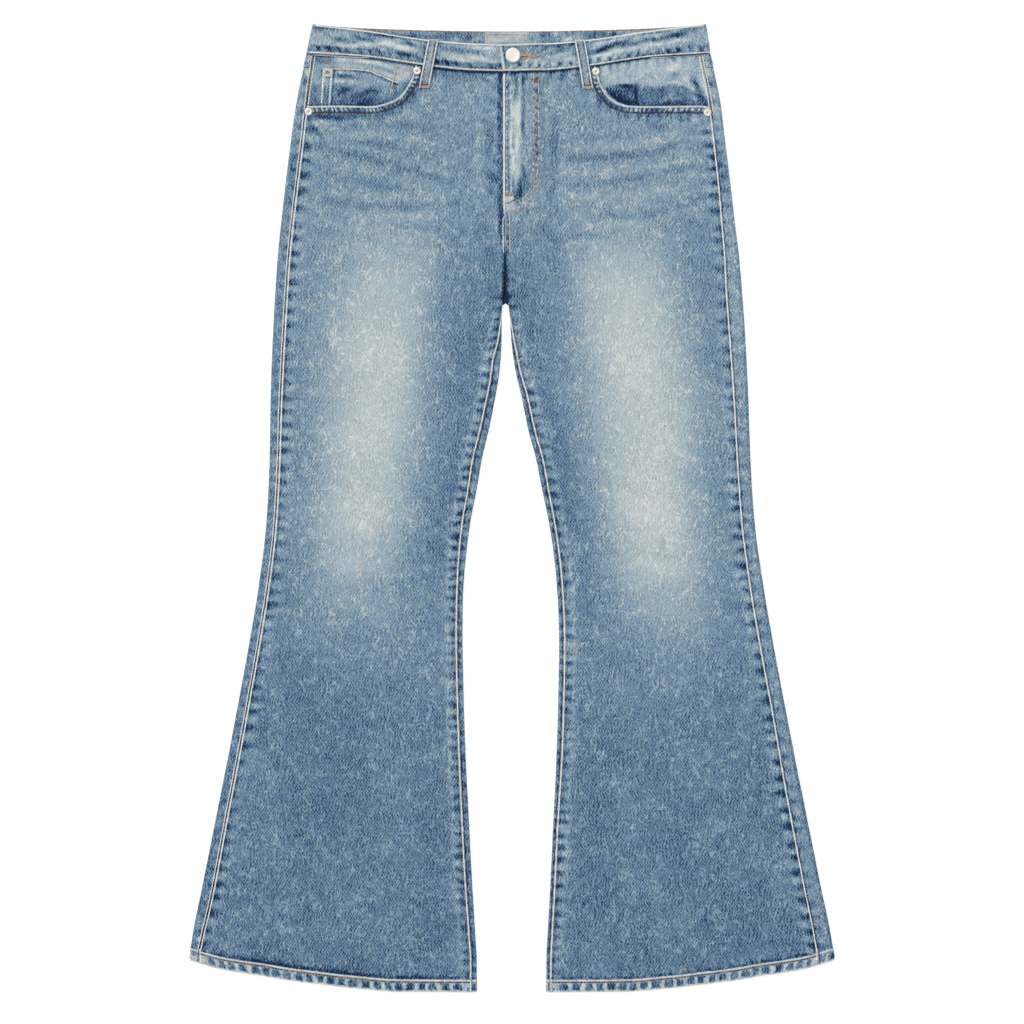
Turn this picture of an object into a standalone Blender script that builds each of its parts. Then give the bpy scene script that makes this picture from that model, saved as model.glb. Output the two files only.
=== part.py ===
"""Flared denim jeans, laid flat and face up: the construction solids, one object a sewn piece.

Tables are in millimetres and the scene in metres. +Y runs to the waist, +Z up from the surface
that the jeans lie on, and the origin is on that surface under the middle of the outline. "right"
and "left" are the wearer's, so the right leg lies at -X. "down" is the distance below the highest
point of the waist, and "across" is the distance from the middle of the garment.
"""
import math
from bisect import bisect_right

import bmesh
import bpy

MM = 0.001
SIGN = {"right": -1, "left": 1}


def table(columns, *rows):
    """Named columns from rows, one row for each section, corner or fold."""
    return dict(zip(columns.split(), zip(*rows)))


# Main sizes
LENGTH = 1084.0  # waist to hem, along the leg as it lies
CLOTH = 1.2  # one layer of denim
HEM_CLOTH = 2.4  # the turned hem
HEM_DEPTH = 12.5
BAND_CLOTH = 2.2  # waistband, doubled
TRIM_CLOTH = 1.0  # pocket facings and coin pocket
POCKET_CLOTH = 1.2
LOOP_CLOTH = 1.6
TAPE_CLOTH = 0.8  # zip
LABEL_CLOTH = 0.4
GAP = 0.3  # between neighbouring pieces
HALF_GAP = GAP / 2

# The hips lie on the back pockets and loops, a layer above the surface
HIP_RAISE = POCKET_CLOTH + GAP
HIP_RAISE_END = 268.0
HIP_RAISE_GONE = 300.0

# Outline of the whole garment: half its width, and where its middle lies
OUTLINE = table(
    "down half lean",
    (0, 220.6, -3),
    (40, 228, -4),
    (85, 237.4, -4),
    (130, 243.6, -4.5),
    (175, 249.2, -4.5),
    (220, 254.3, -4.5),
    (265, 259.3, -4),
    (310, 262.7, -3.6),
    (355, 265.4, -3.3),
    (420, 268.2, -2.8),
    (490, 270, -2.2),
    (555, 273.8, -1.7),
    (620, 281.9, -1.1),
    (690, 293.4, -0.9),
    (755, 305.4, -0.8),
    (825, 318.8, -0.6),
    (890, 331.8, -0.6),
    (960, 345.8, -0.5),
    (1025, 358.8, -0.3),
    (1048, 361.7, 0),
    (1084, 361.7, 0),
)
# Inner outline, from the slit at the crotch down the inner legs
INNER = table(
    "down half lean",
    (258, 0.2, -7.8),
    (285, 1.2, -7.6),
    (312, 3.2, -7.4),
    (320, 3.9, -7.2),
    (354, 5.1, -6.2),
    (388, 8.6, -5),
    (421, 15.1, -3.9),
    (455, 21.9, -3.9),
    (488, 30.2, -3.4),
    (522, 36.4, -2.9),
    (555, 43.1, -2.7),
    (589, 48.1, -2.3),
    (623, 51.5, -2.1),
    (656, 53.2, -1.7),
    (690, 53.8, -1.3),
    (757, 52.6, -1.1),
    (824, 50.4, -1),
    (891, 47, -0.9),
    (959, 43.7, -0.8),
    (1026, 39.8, -0.6),
    (1048, 38.6, -0.5),
    (1084, 38.6, -0.5),
)
# Outseams: how far they lie in from the outer edge, on the upper side
OUTSEAM = table(
    "down right left",
    (34, 8.4, 11.8),
    (90, 12, 11.9),
    (150, 13.4, 12.2),
    (230, 12.9, 14),
    (310, 12.9, 16.8),
    (533, 10.5, 13.4),
    (645, 11, 14.1),
    (757, 11.5, 14.3),
    (869, 12.1, 16.8),
    (981, 13.2, 17.9),
    (1048, 10, 17.9),
)
# Inseams: how far past the inner fold they lie, on the upper side; below 0 is within the fold
INSEAM = table(
    "down right left",
    (316, -5.4, -5.4),
    (353, 0, -1),
    (364, 2.2, 0),
    (376, 4.7, 0.6),
    (421, 5.6, 2.8),
    (488, 6.3, 3.6),
    (578, 4.7, 2.3),
    (645, 3.1, 2.3),
    (802, 3.3, 2.3),
    (914, 4, 1.1),
    (1048, 2.9, 1.1),
)
# Hem: how low it hangs, from the outseam edge (0) to the inner edge (1)
HEM = table(
    "share down",
    (0, 1048),
    (0.05, 1053),
    (0.1, 1057.5),
    (0.175, 1062),
    (0.26, 1066),
    (0.34, 1070.5),
    (0.45, 1075),
    (0.57, 1079.5),
    (0.73, 1083.5),
    (1, 1084),
)
# Waistband edges and yoke seam, from the middle (0) to the side (1)
WAIST = table(
    "share front_top back_top front_bottom back_bottom",
    (0, 23, 7.8, 54, 39.8),
    (0.2, 21.2, 7.4, 52.5, 39.4),
    (0.4, 17.3, 6.5, 47.8, 38.6),
    (0.72, 7, 4.2, 37.6, 36.8),
    (1, 0, 0, 33.6, 33.6),
)
WAIST_LEVEL = 20.0  # where those shares are measured
YOKE = table(
    "share down",
    (0, 98.6),
    (0.25, 86),
    (0.5, 72),
    (0.75, 59),
    (0.93, 50.5),
    (1, 48.7),
)
# Middle of the seat seam
SEAT = table(
    "down x",
    (30, -4),
    (200, -4.5),
    (316, -7.4),
)
# Inner edges of the two fronts above the crotch: the left lies over the right at the fly
FRONT_EDGE = table(
    "down right left",
    (50, 24.6, -10.1),
    (175, 23, -10.1),
    (196, 14, -10.1),
    (206, 4, -9.8),
    (213, -4, -9),
    (219, -8.55, -8.2),
    (258, -8, -7.6),
)
# Front pocket mouths: the curve from the band to the outseam
MOUTH = {
    "right": table(
        "across down",
        (103.5, 46),
        (105.7, 54.9),
        (113.6, 71.7),
        (123.1, 82.9),
        (138.2, 89.6),
        (152.8, 92.4),
        (195.3, 91.8),
        (226.7, 92.4),
    ),
    "left": table(
        "across down",
        (97.5, 47),
        (99.2, 53),
        (102, 64),
        (109.3, 78),
        (120.5, 87.8),
        (134, 91.8),
        (159.7, 92.4),
        (214.6, 91.8),
        (225.8, 93.5),
    ),
}
# Height of the upper cloth's outer face, and how far it swells in the middle of a leg
HEIGHT = table(
    "down edge swell",
    (0, 7.2, 0),
    (90, 7.2, 0),
    (150, 6.9, 0.1),
    (215, 6.5, 0.2),
    (262, 6.2, 0.3),
    (316, 5.6, 0.5),
    (400, 5.3, 0.6),
    (1000, 5.3, 0.6),
    (1036, 5.5, 0.3),
    (1084, 5.5, 0),
)
# Broad folds of the upper cloth: place, half length, half width, turn in degrees, height
FOLDS = table(
    "side across down length width turn height",
    ("right", 118, 176, 74, 13, 16, 0.55),
    ("right", 96, 214, 66, 12, 24, -0.5),
    ("right", 70, 252, 52, 12, 34, 0.45),
    ("left", 122, 170, 80, 14, 14, 0.5),
    ("left", 92, 220, 60, 11, 26, -0.45),
    ("left", 66, 250, 56, 13, 36, 0.5),
    ("right", 160, 560, 60, 22, 12, -0.4),
    ("left", 150, 590, 52, 20, -14, -0.4),
    ("right", 215, 850, 150, 24, 84, 0.35),
    ("left", 225, 880, 140, 26, 82, 0.35),
    ("right", 265, 960, 110, 22, 80, -0.4),
    ("left", 120, 960, 120, 24, 96, -0.35),
)

# Fly: the left front rides over the right one and the zip
FLY_LIFT = CLOTH + GAP + TAPE_CLOTH + GAP
FLY_FLAT_TO = 28.0
FLY_LIFT_GONE = 42.0
FLY_END = 221.0
FLY_GONE = 246.0
BAND_PROUD = 0.3  # the band's face above the panels'
BAND_LAP = BAND_CLOTH + GAP
BAND_END_RIGHT = 24.6
BAND_END_LEFT = -14.2
BAND_END_SLANT = 4.0  # the lapped end leans back towards its lower corner

# Where the crotch slit's edges roll down
ROLL_START = 245.0
ROLL_FULL = 262.0
ROLL_UNDER = math.radians(20)
FORK = 314.0  # above it the backs meet flat in the seat seam

# Rows down each panel: where each stands at the side of the leg
TOP_FADE = 160.0
HEM_FADE_START = 900.0
LEG_ROWS = (312, 317, 328, 341, 353, 364, 376, 395, 420, 450, 485, 520, 560, 600, 650, 710, 780, 850, 915, 975)
HEM_ROWS = (1034.5, 1035.5, 1048)
HIP_ROWS = {
    "front": (45, 54, 66, 80, 97, 116, 136, 156, 177, 196, 206, 213, 219, 232, 245, 254, 262, 285),
    "back": (49, 62, 82, 110, 150, 200, 240, 268, 276, 284, 292, 300),
}
FRONT_ROWS = HIP_ROWS["front"] + LEG_ROWS + HEM_ROWS
BACK_ROWS = HIP_ROWS["back"] + LEG_ROWS + HEM_ROWS
YOKE_ROWS = (0, 0.33, 0.67, 1)
INNER_SHARES = (0, 0.2, 0.4, 0.6, 0.8, 1)
# Columns of a back: along its outseam strip, round the outer fold, underneath, round the inner fold
BACK_COLUMNS = (
    [("strip", share) for share in (1, 0.5)]
    + [("outer", share) for share in (1, 0.75, 0.5, 0.25, 0)]
    + [("under", share) for share in (0.25, 0.5, 0.75)]
    + [("inner", share) for share in INNER_SHARES]
)
# Columns of a front: at set distances from its inner edge, then to the pocket's corner, then on
EDGE_COLUMNS = (0, 2.2, 4.4, 6.6, 13, 26, 38, 50)
MIDDLE_COLUMNS = (0.35, 0.7)
MOUTH_COLUMNS = {
    "top": (0, 0.03, 0.09, 0.18, 0.3, 0.45, 0.7, 1),
    "low": (0, 0.14, 0.28, 0.42, 0.56, 0.7, 0.85, 1),
}

# Waistband: shares along its stretches, and down it
BAND_FRONT = (0.08, 0.18, 0.29, 0.4, 0.5, 0.6, 0.7, 0.8, 0.9, 1)
BAND_FRONT_REACH = {"right": BAND_END_RIGHT, "left": FLY_LIFT_GONE}
BAND_FOLD = (0, 0.25, 0.5, 0.75, 1)
BAND_BACK = (0.05, 0.12, 0.22, 0.34, 0.5, 0.75, 1)
BAND_LINES = 4
BAND_PLAIN = (0.33, 0.67)

BUTTON_X = 1.1
BUTTON_DOWN = 36.0
BUTTON_CAP = [(0, 3.0), (4, 2.9), (6.6, 2.5), (8, 1.8), (8.5, 1.0), (8.2, 0.3), (7.6, 0)]
BUTTON_SHANK = 2.3
BUTTON_SIDES = 28
BUTTONHOLE_START = -3.4
BUTTONHOLE_END = 27.5
BUTTONHOLE_WIDE = 6.0
BUTTONHOLE_NARROW = 1.4
BAND_LAP_X = (35.0, BUTTONHOLE_END, 16.0, 6.0, BUTTONHOLE_START, -8.0, BAND_END_LEFT)

RIVET_RADIUS = 4.6
RIVET_PROFILE = [(0, 1.3), (1.2, 1.2), (1.8, 0.9), (2.6, 1.2), (3.8, 1.1), (4.6, 0.4), (4.4, 0), (0, 0)]
RIVET_SIDES = 16
RIVETS = {
    "rivet_right_inner": ("right", -106.2, 52.8),
    "rivet_right_outer": ("right", -227.8, 98.3),
    "rivet_left_inner": ("left", 93.8, 53.4),
    "rivet_left_outer": ("left", 218.8, 99.3),
}

FACING_ROWS = (0, 0.2, 0.4, 0.6, 0.8, 1)
FACING_COLUMNS = (0, 0.1, 0.25, 0.4, 0.55, 0.7, 0.8, 0.88, 0.94, 1)
FACING_TUCK = 4.0
FACING_GAP = 0.6
FACING_PAST_CORNER = 10.0
FACING_BELOW = 14.0
COIN = table(
    "x down",
    (-213.5, 51.5),
    (-199, 52),
    (-175, 53.5),
    (-151.5, 56),
    (-138, 59.5),
    (-126.5, 65.6),
)
COIN_BELOW = 11.0

ZIP_ROWS = (58, 90, 130, 165, 190)
ZIP_EDGES = (-6.0, 6.0)

LOOP_WIDTH = 11.8
LOOP_ARCH = ((0, 0), (0.1, 0.2), (0.25, 1.4), (0.5, 1.8), (0.72, 1.3), (0.88, 0.1), (1, 0))
# x and down of each front loop's top and bottom
FRONT_LOOPS = {
    "right": (-87.9, 17.6, -98.6, 72.2),
    "left": (75.7, 17.9, 85.1, 72.8),
}
BACK_LOOPS = {"belt_loop_back_right": -134.0, "belt_loop_back_centre": -4.0, "belt_loop_back_left": 126.0}
BACK_LOOP_LENGTH = 54.0
# Corners of a back pocket: across from the seat seam, and down
BACK_POCKET = ((44, 116), (196, 98), (190, 236), (119, 260), (54, 243))
LABEL = (-30.0, 18.0, 12.0, 27.0)

# Colours: base colour, metallic, roughness
FINISHES = {
    "denim": ((0.19, 0.30, 0.46), 0.0, 0.85),
    "facing_denim": ((0.11, 0.19, 0.32), 0.0, 0.85),
    "label_cloth": ((0.62, 0.58, 0.50), 0.0, 0.8),
    "zip_tape": ((0.08, 0.12, 0.2), 0.0, 0.8),
    "pale_metal": ((0.80, 0.78, 0.75), 0.9, 0.35),
}


def clear_scene():
    for thing in list(bpy.data.objects):
        bpy.data.objects.remove(thing, do_unlink=True)


def finish(name):
    """The named material, made once."""
    found = bpy.data.materials.get(name)
    if found:
        return found
    colour, metallic, roughness = FINISHES[name]
    made = bpy.data.materials.new(name)
    made.use_nodes = True
    shader = made.node_tree.nodes["Principled BSDF"]
    shader.inputs["Base Color"].default_value = (*colour, 1.0)
    shader.inputs["Metallic"].default_value = metallic
    shader.inputs["Roughness"].default_value = roughness
    return made


def curve(keys, values):
    """A smooth function through a table's points that never overshoots them."""
    steps = [b - a for a, b in zip(keys, keys[1:])]
    slopes = [(b - a) / step for a, b, step in zip(values, values[1:], steps)]
    tangents = [slopes[0]]
    for before, after in zip(slopes, slopes[1:]):
        tangents.append(0.0 if before * after <= 0 else 2 * before * after / (before + after))
    tangents.append(slopes[-1])

    def at(key):
        key = min(max(key, keys[0]), keys[-1])
        i = min(bisect_right(keys, key), len(keys) - 1) - 1
        t = (key - keys[i]) / steps[i]
        rest = 1 - t
        ends = values[i] * rest * rest * (1 + 2 * t) + values[i + 1] * t * t * (3 - 2 * t)
        return ends + steps[i] * t * rest * (tangents[i] * rest - tangents[i + 1] * t)

    return at


def ease(value, start, end):
    """0 before start, 1 after end, smooth between."""
    t = min(max((value - start) / (end - start), 0.0), 1.0)
    return t * t * (3 - 2 * t)


def between(a, b, share):
    return a + (b - a) * share


outer_half = curve(OUTLINE["down"], OUTLINE["half"])
lean = curve(OUTLINE["down"], OUTLINE["lean"])
inner_half = curve(INNER["down"], INNER["half"])
inner_lean = curve(INNER["down"], INNER["lean"])
outseam_inset = {side: curve(OUTSEAM["down"], OUTSEAM[side]) for side in SIGN}
inseam_past = {side: curve(INSEAM["down"], INSEAM[side]) for side in SIGN}
hem_down = curve(HEM["share"], HEM["down"])
front_top = curve(WAIST["share"], WAIST["front_top"])
back_top = curve(WAIST["share"], WAIST["back_top"])
front_bottom = curve(WAIST["share"], WAIST["front_bottom"])
back_bottom = curve(WAIST["share"], WAIST["back_bottom"])
yoke_seam = curve(YOKE["share"], YOKE["down"])
seat_x = curve(SEAT["down"], SEAT["x"])
front_edge = {side: curve(FRONT_EDGE["down"], FRONT_EDGE[side]) for side in SIGN}
mouth_down = {side: curve(MOUTH[side]["across"], MOUTH[side]["down"]) for side in SIGN}
edge_height = curve(HEIGHT["down"], HEIGHT["edge"])
swell = curve(HEIGHT["down"], HEIGHT["swell"])


def underside(down):
    """The lower cloth's outer face: on the surface at the legs, raised at the hips."""
    return HIP_RAISE * (1 - ease(down, HIP_RAISE_END, HIP_RAISE_GONE))


def outer_edge(side, down):
    return SIGN[side] * outer_half(down) + lean(down)


def inner_edge(side, down):
    return SIGN[side] * inner_half(down) + inner_lean(down)


def waist_share(x, down):
    """0 at the middle of the garment, 1 at its side."""
    return min(abs(x - lean(down)) / outer_half(down), 1.0)


def folds(side, x, down):
    total = 0.0
    middle = lean(down)
    for owner, across, place, length, width, turn, height in zip(*FOLDS.values()):
        if owner != side:
            continue
        out = SIGN[side] * (x - middle) - across
        low = down - place
        angle = math.radians(turn)
        along = out * math.cos(angle) - low * math.sin(angle)
        off = out * math.sin(angle) + low * math.cos(angle)
        total += height * math.exp(-((along / length) ** 2) - (off / width) ** 2)
    return total


def top_height(side, x, down):
    """The upper cloth's outer face. It is even along the folded edges, so that both panels meet there."""
    sign = SIGN[side]
    calm = ease(sign * (outer_edge(side, down) - x), 4, 34) * ease(down, 96, 140)
    if down > FLY_END:
        inner_calm = ease(sign * (x - inner_edge(side, max(down, ROLL_FULL))), 4, 34)
        calm *= between(1.0, inner_calm, ease(down, FLY_END, ROLL_START))
    return edge_height(down) + calm * (swell(down) + folds(side, x, down)) + fly_lift(side, x, down)


def fly_lift(side, x, down):
    if side == "right":
        return 0.0
    return FLY_LIFT * (1 - ease(x, FLY_FLAT_TO, FLY_LIFT_GONE)) * (1 - ease(down, FLY_END, FLY_GONE))


def bend(travel, radius, curl, depth):
    """Cloth that has run `travel` into a fold: how far across it lies, and how deep.

    A curl of 1 is the full fold and 0 lies straight on; past half a turn the cloth runs back."""
    if curl == 0 or travel <= 0:
        return travel, depth
    swing = radius / curl
    angle = min(travel / swing, math.pi)
    back = travel - angle * swing
    return (swing - depth) * math.sin(angle) - back, swing - (swing - depth) * math.cos(angle)


def fold_radius(down):
    return (edge_height(down) - underside(down)) / 2


def back_place(side, down, zone, share, depth):
    """x and height of a back piece's cloth, `depth` below its outer face."""
    sign = SIGN[side]
    radius = fold_radius(down)
    half_turn = math.pi * radius
    floor = underside(down)
    outer_start = outer_edge(side, down) - sign * radius
    forked = down > FORK
    inner_end = inner_edge(side, down) if forked else seat_x(down) + sign * HALF_GAP
    inner_start = inner_end + sign * radius
    if zone == "under":
        return between(outer_start, inner_start, share), floor + depth
    if zone == "inner":
        run = half_turn + inseam_past[side](down) - HALF_GAP if forked else radius
        travel = run * share
        across, sink = bend(travel, radius, 1 if forked else 0, depth)
        x = inner_start - sign * across
    else:
        strip = outseam_inset[side](down) - radius - HALF_GAP
        travel = half_turn + strip * share if zone == "strip" else half_turn * share
        across, sink = bend(travel, radius, 1, depth)
        x = outer_start + sign * across
    if travel > half_turn:
        return x, top_height(side, x, down) - depth
    return x, floor + sink


def front_span(side, down):
    """A front's section: where its inner fold starts, its radius and curl, and the run past the start."""
    sign = SIGN[side]
    radius = fold_radius(down)
    curl = ease(down, ROLL_START, ROLL_FULL)
    end = front_edge[side](down) if down <= INNER["down"][0] else inner_edge(side, down)
    if down > FORK:
        past = -inseam_past[side](down) - HALF_GAP
    elif curl == 0:
        past = radius
    else:
        past = radius * (math.asin(curl) / curl + ROLL_UNDER * ease(curl, 0.93, 1.0))
    return end + sign * radius, radius, curl, past


def front_width(side, down):
    start, _, _, past = front_span(side, down)
    seam = outer_edge(side, down) - SIGN[side] * (outseam_inset[side](down) + HALF_GAP)
    return past + SIGN[side] * (seam - start)


def front_place(side, down, from_edge, depth):
    """x and height of a front's cloth, from_edge away from its inner edge."""
    sign = SIGN[side]
    start, radius, curl, past = front_span(side, down)
    travel = past - from_edge
    across, sink = bend(travel, radius, curl, depth)
    x = start - sign * across
    if travel <= 0 or curl == 0:
        return x, top_height(side, x, down) - depth
    return x, top_height(side, start, down) - sink


def leg_share(side, x, down):
    """0 at the leg's outer edge, 1 at its inner edge."""
    outer = outer_edge(side, down)
    return min(max((x - outer) / (inner_edge(side, down) - outer), 0.0), 1.0)


def level(row, top, first, side, x):
    """How far down a row lies at one column: rows follow the top seam, then run level, then the hem."""
    hem_side = HEM["down"][0]
    to_top = (top - first) * (1 - ease(row, first, first + TOP_FADE))
    to_hem = (hem_down(leg_share(side, x, row)) - hem_side) * ease(row, HEM_FADE_START, hem_side)
    return row + to_top + to_hem


def cloth_at(row):
    """Thickness of a panel: the last stretch is the turned hem."""
    return HEM_CLOTH if row > HEM["down"][0] - HEM_DEPTH - 0.5 else CLOTH


def add_object(name, mesh_maker, material):
    """Makes one named solid from a bmesh filled by mesh_maker, with its faces pointing out."""
    shape = bmesh.new()
    mesh_maker(shape)
    bmesh.ops.recalc_face_normals(shape, faces=shape.faces)
    if shape.calc_volume(signed=True) < 0:
        bmesh.ops.reverse_faces(shape, faces=shape.faces)
    mesh = bpy.data.meshes.new(name)
    shape.to_mesh(mesh)
    shape.free()
    made = bpy.data.objects.new(name, mesh)
    made.data.materials.append(finish(material))
    bpy.context.scene.collection.objects.link(made)
    return made


def place(x, down, height):
    """Table coordinates to metres in the scene."""
    return x * MM, (LENGTH / 2 - down) * MM, height * MM


def wall(name, outer, inner, material, holes=()):
    """A closed sheet between two grids of points, without the cells named in holes."""

    def fill(shape):
        faces = []
        for grid in (outer, inner):
            faces.append([[shape.verts.new(point) for point in row] for row in grid])
        cells = [
            (i, j) for i in range(len(outer) - 1) for j in range(len(outer[0]) - 1) if (i, j) not in holes
        ]
        rims = {}
        for i, j in cells:
            loop = [(i, j), (i + 1, j), (i + 1, j + 1), (i, j + 1)]
            shape.faces.new([faces[0][a][b] for a, b in loop])
            shape.faces.new([faces[1][a][b] for a, b in reversed(loop)])
            for start, end in zip(loop, loop[1:] + loop[:1]):
                if (end, start) in rims:
                    del rims[(end, start)]
                else:
                    rims[(start, end)] = True
        for (a, b), (c, d) in rims:
            shape.faces.new([faces[0][c][d], faces[0][a][b], faces[1][a][b], faces[1][c][d]])
        loose = [vert for vert in shape.verts if not vert.link_faces]
        bmesh.ops.delete(shape, geom=loose, context="VERTS")

    return add_object(name, fill, material)


def prism(name, outline, bottom, top, material):
    """A flat plate with the given outline of (x, down) corners."""

    def fill(shape):
        low = [shape.verts.new(place(x, down, bottom)) for x, down in outline]
        high = [shape.verts.new(place(x, down, top)) for x, down in outline]
        shape.faces.new(low)
        shape.faces.new(high)
        for i in range(len(outline)):
            j = (i + 1) % len(outline)
            shape.faces.new([low[i], low[j], high[j], high[i]])

    return add_object(name, fill, material)


def turned(name, profile, x, down, height, segments, material):
    """A solid of revolution about a vertical axis. profile is (radius, height) from its top centre."""

    def fill(shape):
        rings = []
        for radius, rise in profile:
            if radius == 0:
                rings.append([shape.verts.new(place(x, down, height + rise))])
                continue
            ring = []
            for k in range(segments):
                angle = 2 * math.pi * k / segments
                ring.append(
                    shape.verts.new(
                        place(x + radius * math.cos(angle), down - radius * math.sin(angle), height + rise)
                    )
                )
            rings.append(ring)
        for upper, lower in zip(rings, rings[1:]):
            for k in range(segments):
                n = (k + 1) % segments
                corners = [upper[k % len(upper)], upper[n % len(upper)]]
                corners += [lower[n % len(lower)], lower[k % len(lower)]]
                shape.faces.new(list(dict.fromkeys(corners)))

    made = add_object(name, fill, material)
    made.data.shade_smooth()
    return made


# Panels


def back_panel(side):
    first = BACK_ROWS[0]
    outer, inner = [], []
    for row in BACK_ROWS:
        for grid, depth in ((outer, 0.0), (inner, cloth_at(row))):
            line = []
            for zone, share in BACK_COLUMNS:
                x, _ = back_place(side, row, zone, share, depth)
                from_middle = {"under": 1 - share, "inner": 0.0}.get(zone, 1.0)
                down = level(row, yoke_seam(from_middle) + HALF_GAP, first, side, x)
                x, height = back_place(side, down, zone, share, depth)
                line.append(place(x, down, height))
            grid.append(line)
    wall(f"back_panel_{side}", outer, inner, "denim")


def mouth_corner(side):
    """x of the pocket mouth's corner at the band."""
    return lean(50) + SIGN[side] * MOUTH[side]["across"][0]


def front_top_edge(side, x):
    """How far down a front's upper edge lies: the band seam, then the pocket mouth."""
    across = SIGN[side] * (x - lean(50))
    if across <= MOUTH[side]["across"][0]:
        return front_bottom(waist_share(x, WAIST_LEVEL)) + GAP
    return max(mouth_down[side](across), front_bottom(waist_share(x, WAIST_LEVEL)) + GAP)


def front_columns(side, row):
    """Distances from the inner edge, the pocket's corner always on one of them."""
    far = EDGE_COLUMNS[-1]
    top_down = front_bottom(0.4)
    top_width = front_width(side, top_down)
    corner_run = SIGN[side] * (mouth_corner(side) - front_edge[side](top_down)) - far
    corner_share = corner_run / (top_width - far)
    width = front_width(side, row)
    corner = far + (width - far) * corner_share
    relax = ease(row, 100, 240)
    places = list(EDGE_COLUMNS) + [between(far, corner, share) for share in MIDDLE_COLUMNS]
    for top, low in zip(MOUTH_COLUMNS["top"], MOUTH_COLUMNS["low"]):
        places.append(between(corner, width, between(top, low, relax)))
    return places


def front_panel(side):
    first = FRONT_ROWS[0]
    top_x = [front_place(side, first, from_edge, 0.0)[0] for from_edge in front_columns(side, first)]
    tops = [front_top_edge(side, x) for x in top_x]
    outer, inner = [], []
    for row in FRONT_ROWS:
        lines = ([], [])
        for column, top in enumerate(tops):
            x, _ = front_place(side, row, front_columns(side, row)[column], 0.0)
            down = level(row, top, first, side, x)
            at = front_columns(side, down if row < HEM_FADE_START else row)[column]
            at = min(at, front_width(side, down))
            for line, depth in zip(lines, (0.0, cloth_at(row))):
                x, height = front_place(side, down, at, depth)
                line.append(place(x, down, height))
        outer.append(lines[0])
        inner.append(lines[1])
    wall(f"front_panel_{side}", outer, inner, "denim")


def back_yoke(side):
    outer, inner = [], []
    for share in YOKE_ROWS:
        for grid, depth in ((outer, 0.0), (inner, CLOTH)):
            line = []
            for zone, place_share in BACK_COLUMNS[: -len(INNER_SHARES)] + [("inner", 0), ("inner", 1)]:
                out = {"under": 1 - place_share, "inner": 0.0}.get(zone, 1.0)
                upper = back_bottom(out) + GAP
                if zone == "strip":
                    x, _ = back_place(side, upper, zone, place_share, depth)
                    upper = front_bottom(waist_share(x, WAIST_LEVEL)) + GAP
                down = between(upper, yoke_seam(out) - HALF_GAP, share)
                x, height = back_place(side, down, zone, place_share, depth)
                line.append(place(x, down, height))
            grid.append(line)
    wall(f"back_yoke_{side}", outer, inner, "denim")


# Waistband: one strip from the right end, round the right fold, the back and the left fold, to the left end


def band_face(side, x, down):
    """The band's outer face on the front: just proud of the panels, and over the right end at the fly."""
    lap = 0.0
    if side == "left":
        lap = BAND_LAP * (1 - ease(x, FLY_FLAT_TO, FLY_LIFT_GONE))
    return edge_height(down) + BAND_PROUD + lap


def band_place(side, down, zone, share, depth):
    sign = SIGN[side]
    radius = (edge_height(down) + BAND_PROUD - HIP_RAISE) / 2
    start = outer_edge(side, down) - sign * radius
    if zone == "back":
        return between(start, lean(down), share), HIP_RAISE + depth
    if zone == "fold":
        across, sink = bend(math.pi * radius * share, radius, 1, depth)
        return start + sign * across, HIP_RAISE + sink
    if zone == "lap":
        slant = BAND_END_SLANT * (down - front_top(0)) / (front_bottom(0) - front_top(0))
        x = max(share, BAND_END_LEFT + slant)
    else:
        x = between(start, BAND_FRONT_REACH[side], share)
    return x, band_face(side, x, down) - depth


def band_stations():
    """(side, zone, share or x) along the band, from its right end to its left end."""
    right_front = [("right", "front", share) for share in reversed(BAND_FRONT)]
    left_front = [("left", "front", share) for share in BAND_FRONT] + [("left", "lap", x) for x in BAND_LAP_X]
    right_fold = [("right", "fold", share) for share in reversed(BAND_FOLD)]
    left_fold = [("left", "fold", share) for share in BAND_FOLD]
    right_back = [("right", "back", share) for share in BAND_BACK]
    left_back = [("left", "back", share) for share in reversed(BAND_BACK[:-1])]
    return right_front + right_fold + right_back + left_back + left_fold + left_front


def band_edges(side, zone, share):
    """Upper and lower edge of the band at one station."""
    if zone == "fold":
        return front_top(1), front_bottom(1)
    upper, lower = (back_top, back_bottom) if zone == "back" else (front_top, front_bottom)
    upper_x, _ = band_place(side, upper(0.5), zone, share, 0.0)
    lower_x, _ = band_place(side, lower(0.5), zone, share, 0.0)
    return upper(waist_share(upper_x, WAIST_LEVEL)), lower(waist_share(lower_x, WAIST_LEVEL))


def buttonhole_rows(x):
    """Shares of the band's height where the buttonhole's long edges lie."""
    half = between(BUTTONHOLE_WIDE, BUTTONHOLE_NARROW, ease(x, BUTTON_X, BUTTONHOLE_END)) / 2
    height = front_bottom(0) - front_top(0)
    middle = (BUTTON_DOWN - front_top(0)) / height
    return middle - half / height, middle + half / height


def waistband():
    stations = band_stations()
    outer = [[] for _ in range(BAND_LINES)]
    inner = [[] for _ in range(BAND_LINES)]
    hole = []
    for number, (side, zone, share) in enumerate(stations):
        upper, lower = band_edges(side, zone, share)
        first, second = buttonhole_rows(share) if zone == "lap" else BAND_PLAIN
        for line, row_share in enumerate((0, first, second, 1)):
            down = between(upper, lower, row_share)
            for grid, depth in ((outer, 0.0), (inner, BAND_CLOTH)):
                x, height = band_place(side, down, zone, share, depth)
                grid[line].append(place(x, down, height))
        if zone == "lap" and BUTTONHOLE_START <= share <= BUTTONHOLE_END:
            hole.append(number)
    holes = {(1, number) for number in hole[:-1]}
    wall("waistband", outer, inner, "denim", holes)


# What lies on and under the fronts


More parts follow.
